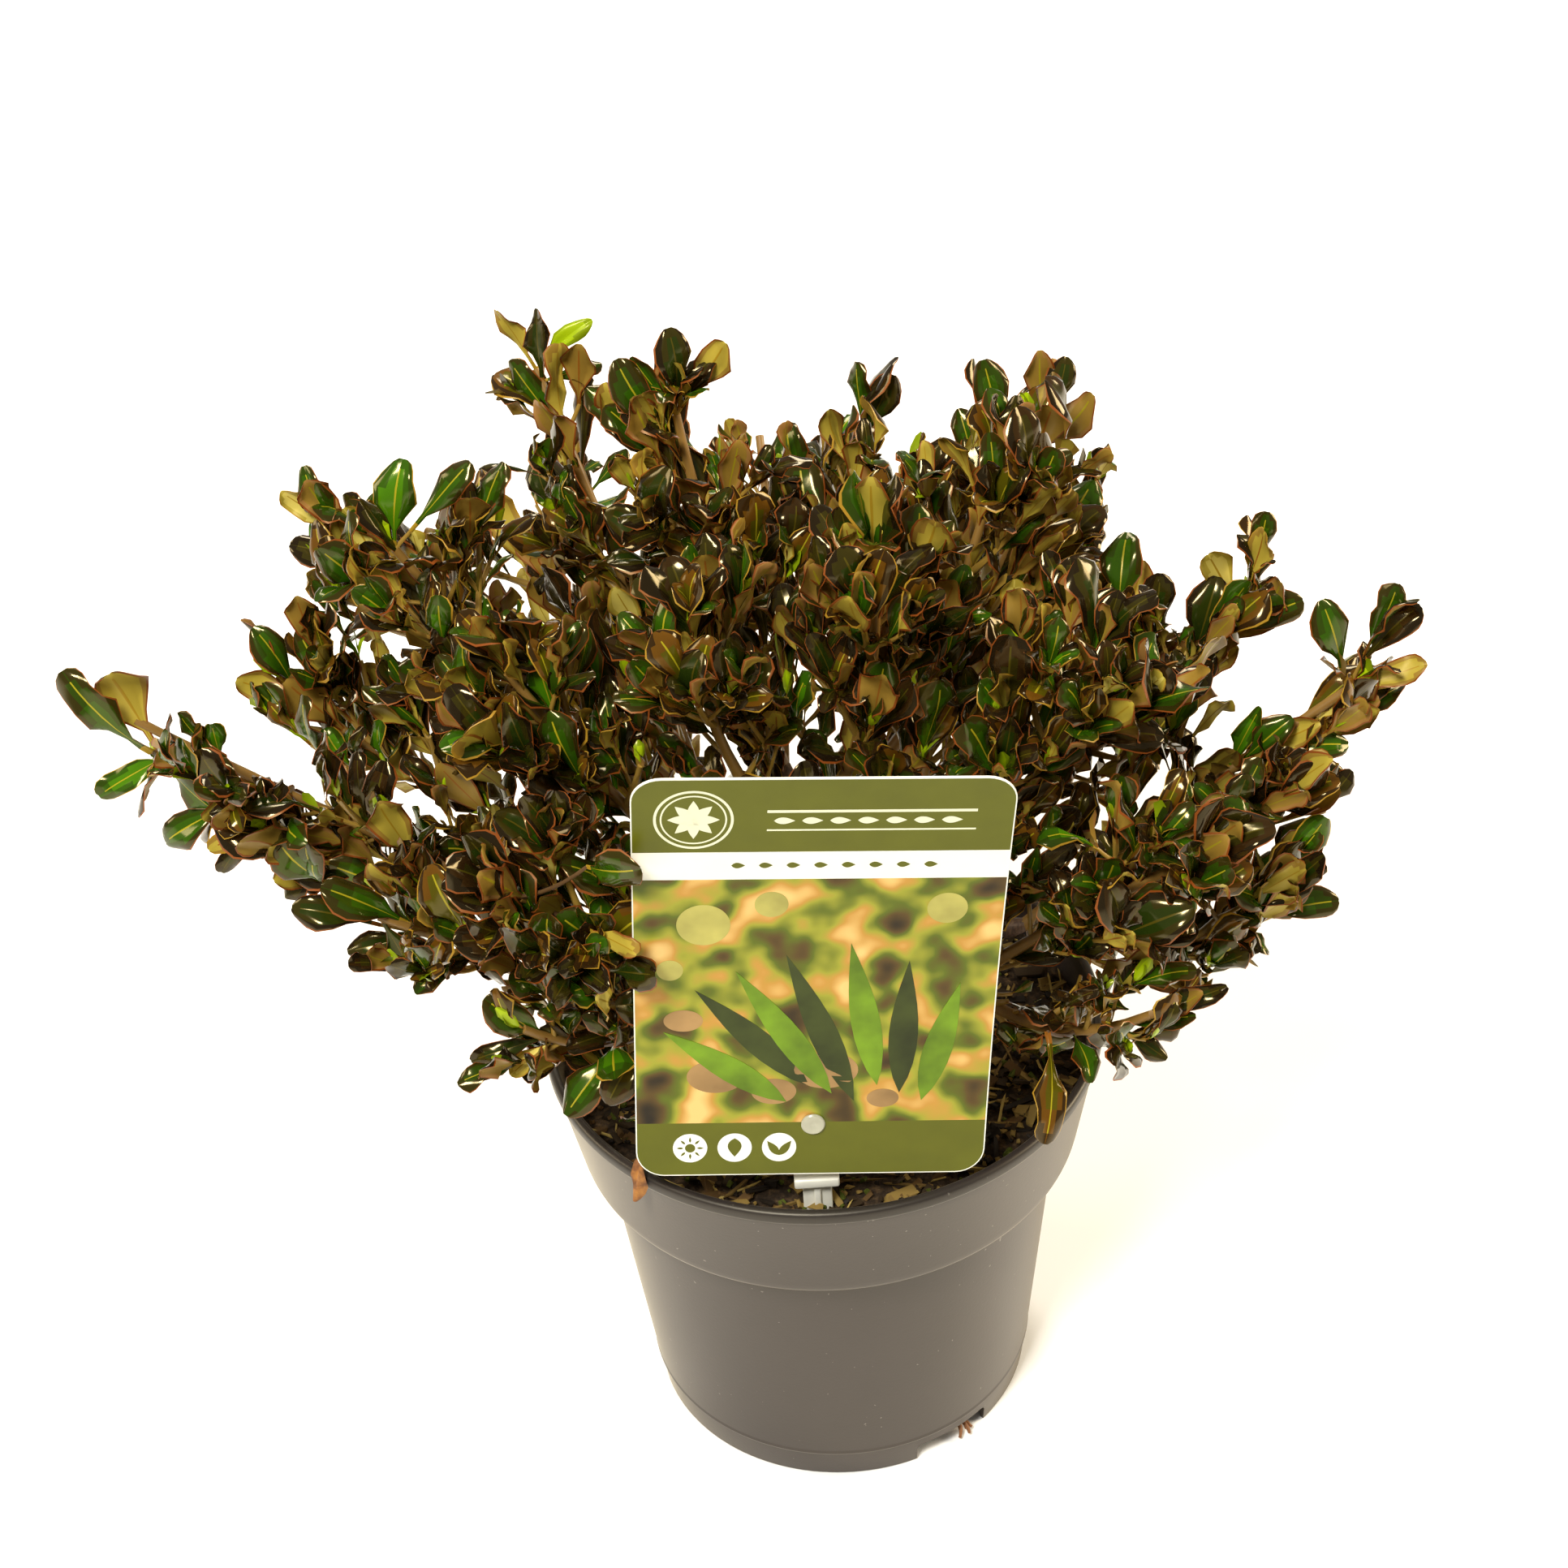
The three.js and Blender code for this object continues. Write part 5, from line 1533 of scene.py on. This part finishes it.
flower = [
    blade_outline(*FLOWER_AT, *FLOWER_PETAL_SIZE, 360 / FLOWER_PETALS * i)
    for i in range(FLOWER_PETALS)]
for ring in FLOWER_RINGS:
    flower += ring_outlines(*FLOWER_AT, *ring)
printed("flower", flower, 2, pale)
rule_leaves = [blade_outline(x, RULE_LEAF_HEIGHT, *RULE_LEAF_SIZE, 0) for x in RULE_LEAVES]
printed("rules", [box_outline(*rule) for rule in RULES] + rule_leaves, 2, pale)
lozenges = [blade_outline(x, LOZENGE_HEIGHT, *LOZENGE_SIZE, 0) for x in LOZENGES]
printed("lozenges", lozenges, 1, olive)
signs = [disc_outline(x, SIGN_HEIGHT, SIGN_RADIUS) for x in (SUN_SIGN, DROP_SIGN, SPRIG_SIGN)]
printed("signs", signs, 2, card_white)
marks = [disc_outline(SUN_SIGN, SIGN_HEIGHT, SUN_RADIUS)]
for i in range(SUN_RAYS):
    turn = math.tau * i / SUN_RAYS
    marks.append(blade_outline(
        SUN_SIGN + RAY_FOOT * math.cos(turn), SIGN_HEIGHT + RAY_FOOT * math.sin(turn),
        *RAY_SIZE, 360 / SUN_RAYS * i))
marks.append(blade_outline(DROP_SIGN, SIGN_HEIGHT + 3.6, 7, 4.4, 270))
marks += [blade_outline(SPRIG_SIGN, SIGN_HEIGHT - 3, 6.6, 2.6, bearing) for bearing in (55, 125)]
printed("sign_marks", marks, 3, olive)


# Stake and rivet: cloudy clear polypropylene. The stake has a crossbar at the card's foot and
# goes down into the potting mix; the rivet's flat head lies on the card's face.
STAKE_X = -6.0
STAKE_WIDTH = 9.4
STAKE_THICKNESS = 1.6
STAKE_FRONT_Y = -79.2
STAKE_FOOT_Z = 118.0
STAKE_TOP_Z = 195.0
CROSSBAR = (14.5, 4.5, 4.0)
CROSSBAR_Z = 159.5
BRACE_SIZE = (2.2, 1.4, 13.0)
BRACE_OUT = 0.5
RIVET_Z = 186.0
RIVET_HEAD_RADIUS = 3.75
RIVET_SHANK_RADIUS = 1.5
RIVET_TAIL_RADIUS = 2.6
RIVET_PLAY = 0.3
# The stake's tone is painted paler than the plastic, as painted light against the card's shadow; the
# rivet's, of the same plastic, is painted greyer, as painted shade
STAKE_CLOUD_WITH_PAINTED_LIGHT = (238, 236, 222)
RIVET_CLOUD_WITH_PAINTED_SHADE = (172, 170, 148)
CLOUD_CONTRAST = 16


def cloudy_plastic(name, cloud):
    """Clear plastic, clouded from one sRGB grey to a slightly paler one; the grey holds painted light on
    the stake and painted shade on the rivet
    """
    material, tree, shader, place = textured(name, (1, 1, 1), 0.28)
    shader.inputs["Transmission Weight"].default_value = 0.12
    shader.inputs["IOR"].default_value = 1.47
    depth = speckle(tree, place, scale=140, detail=3.0)
    paler = [tone + CLOUD_CONTRAST for tone in cloud]
    tint = ramp(tree, depth, [(0.3, paint(*cloud)), (0.7, paint(*paler))])
    tree.links.new(tint, shader.inputs["Base Color"])
    relief(tree, shader, depth, strength=0.15, distance=0.0004)
    return material


def bar(form, centre, size, bevel):
    place = Matrix.Translation(Vector(centre) * MM) @ Matrix.Diagonal((*(Vector(size) * MM), 1))
    made = bmesh.ops.create_cube(form, size=1, matrix=place)
    edges = list({edge for vert in made["verts"] for edge in vert.link_edges})
    bmesh.ops.bevel(form, geom=edges, offset=bevel * MM, offset_type="OFFSET", segments=3,
                    profile=0.5, affect="EDGES", material=-1)


form = bmesh.new()
stake_y = STAKE_FRONT_Y + STAKE_THICKNESS / 2
bar(form, (STAKE_X, stake_y, (STAKE_TOP_Z + STAKE_FOOT_Z) / 2),
    (STAKE_WIDTH, STAKE_THICKNESS, STAKE_TOP_Z - STAKE_FOOT_Z), 0.5)
bar(form, (STAKE_X, STAKE_FRONT_Y + STAKE_THICKNESS - CROSSBAR[1] / 2, CROSSBAR_Z), CROSSBAR, 0.8)
bar(form, (STAKE_X, STAKE_FRONT_Y - BRACE_OUT, (SOIL_TOP + CROSSBAR_Z) / 2), BRACE_SIZE, 0.5)
stake_plastic = cloudy_plastic("stake_plastic", STAKE_CLOUD_WITH_PAINTED_LIGHT)
stake = show("stake", mesh_of(form, "stake", sharp_angle=35), stake_plastic)
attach(stake, "root")
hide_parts("label_stake")

rivet_share = (RIVET_Z - (CARD_CENTRE[2] - CARD_HEIGHT / 2)) / CARD_HEIGHT
rivet_y = CARD_CENTRE[1] - CARD_BOW * (2 * rivet_share - 1) ** 2
rivet_pitch = math.atan(4 * CARD_BOW * (1 - 2 * rivet_share) / CARD_HEIGHT)
tail = STAKE_FRONT_Y + STAKE_THICKNESS - rivet_y + RIVET_PLAY
head = CARD_THICKNESS / 2 + RIVET_PLAY
form = turned([
    (0, -tail - 1), (RIVET_TAIL_RADIUS - 0.4, -tail - 1), (RIVET_TAIL_RADIUS, -tail - 0.5),
    (RIVET_TAIL_RADIUS, -tail), (RIVET_SHANK_RADIUS, -tail), (RIVET_SHANK_RADIUS, head),
    (RIVET_HEAD_RADIUS, head), (RIVET_HEAD_RADIUS, head + 0.5), (RIVET_HEAD_RADIUS - 0.4, head + 0.9),
    (1.2, head + 0.9), (0.9, head + 0.7), (0, head + 0.7)], 40)
bmesh.ops.transform(form, verts=form.verts, matrix=(
    Matrix.Translation(Vector((STAKE_X, rivet_y, RIVET_Z)) * MM)
    @ Matrix.Rotation(math.pi / 2 - rivet_pitch, 4, "X")))
rivet_plastic = cloudy_plastic("rivet_plastic", RIVET_CLOUD_WITH_PAINTED_SHADE)
rivet = show("rivet", mesh_of(form, "rivet", sharp_angle=35), rivet_plastic)
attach(rivet, "root")
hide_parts("label_rivet")
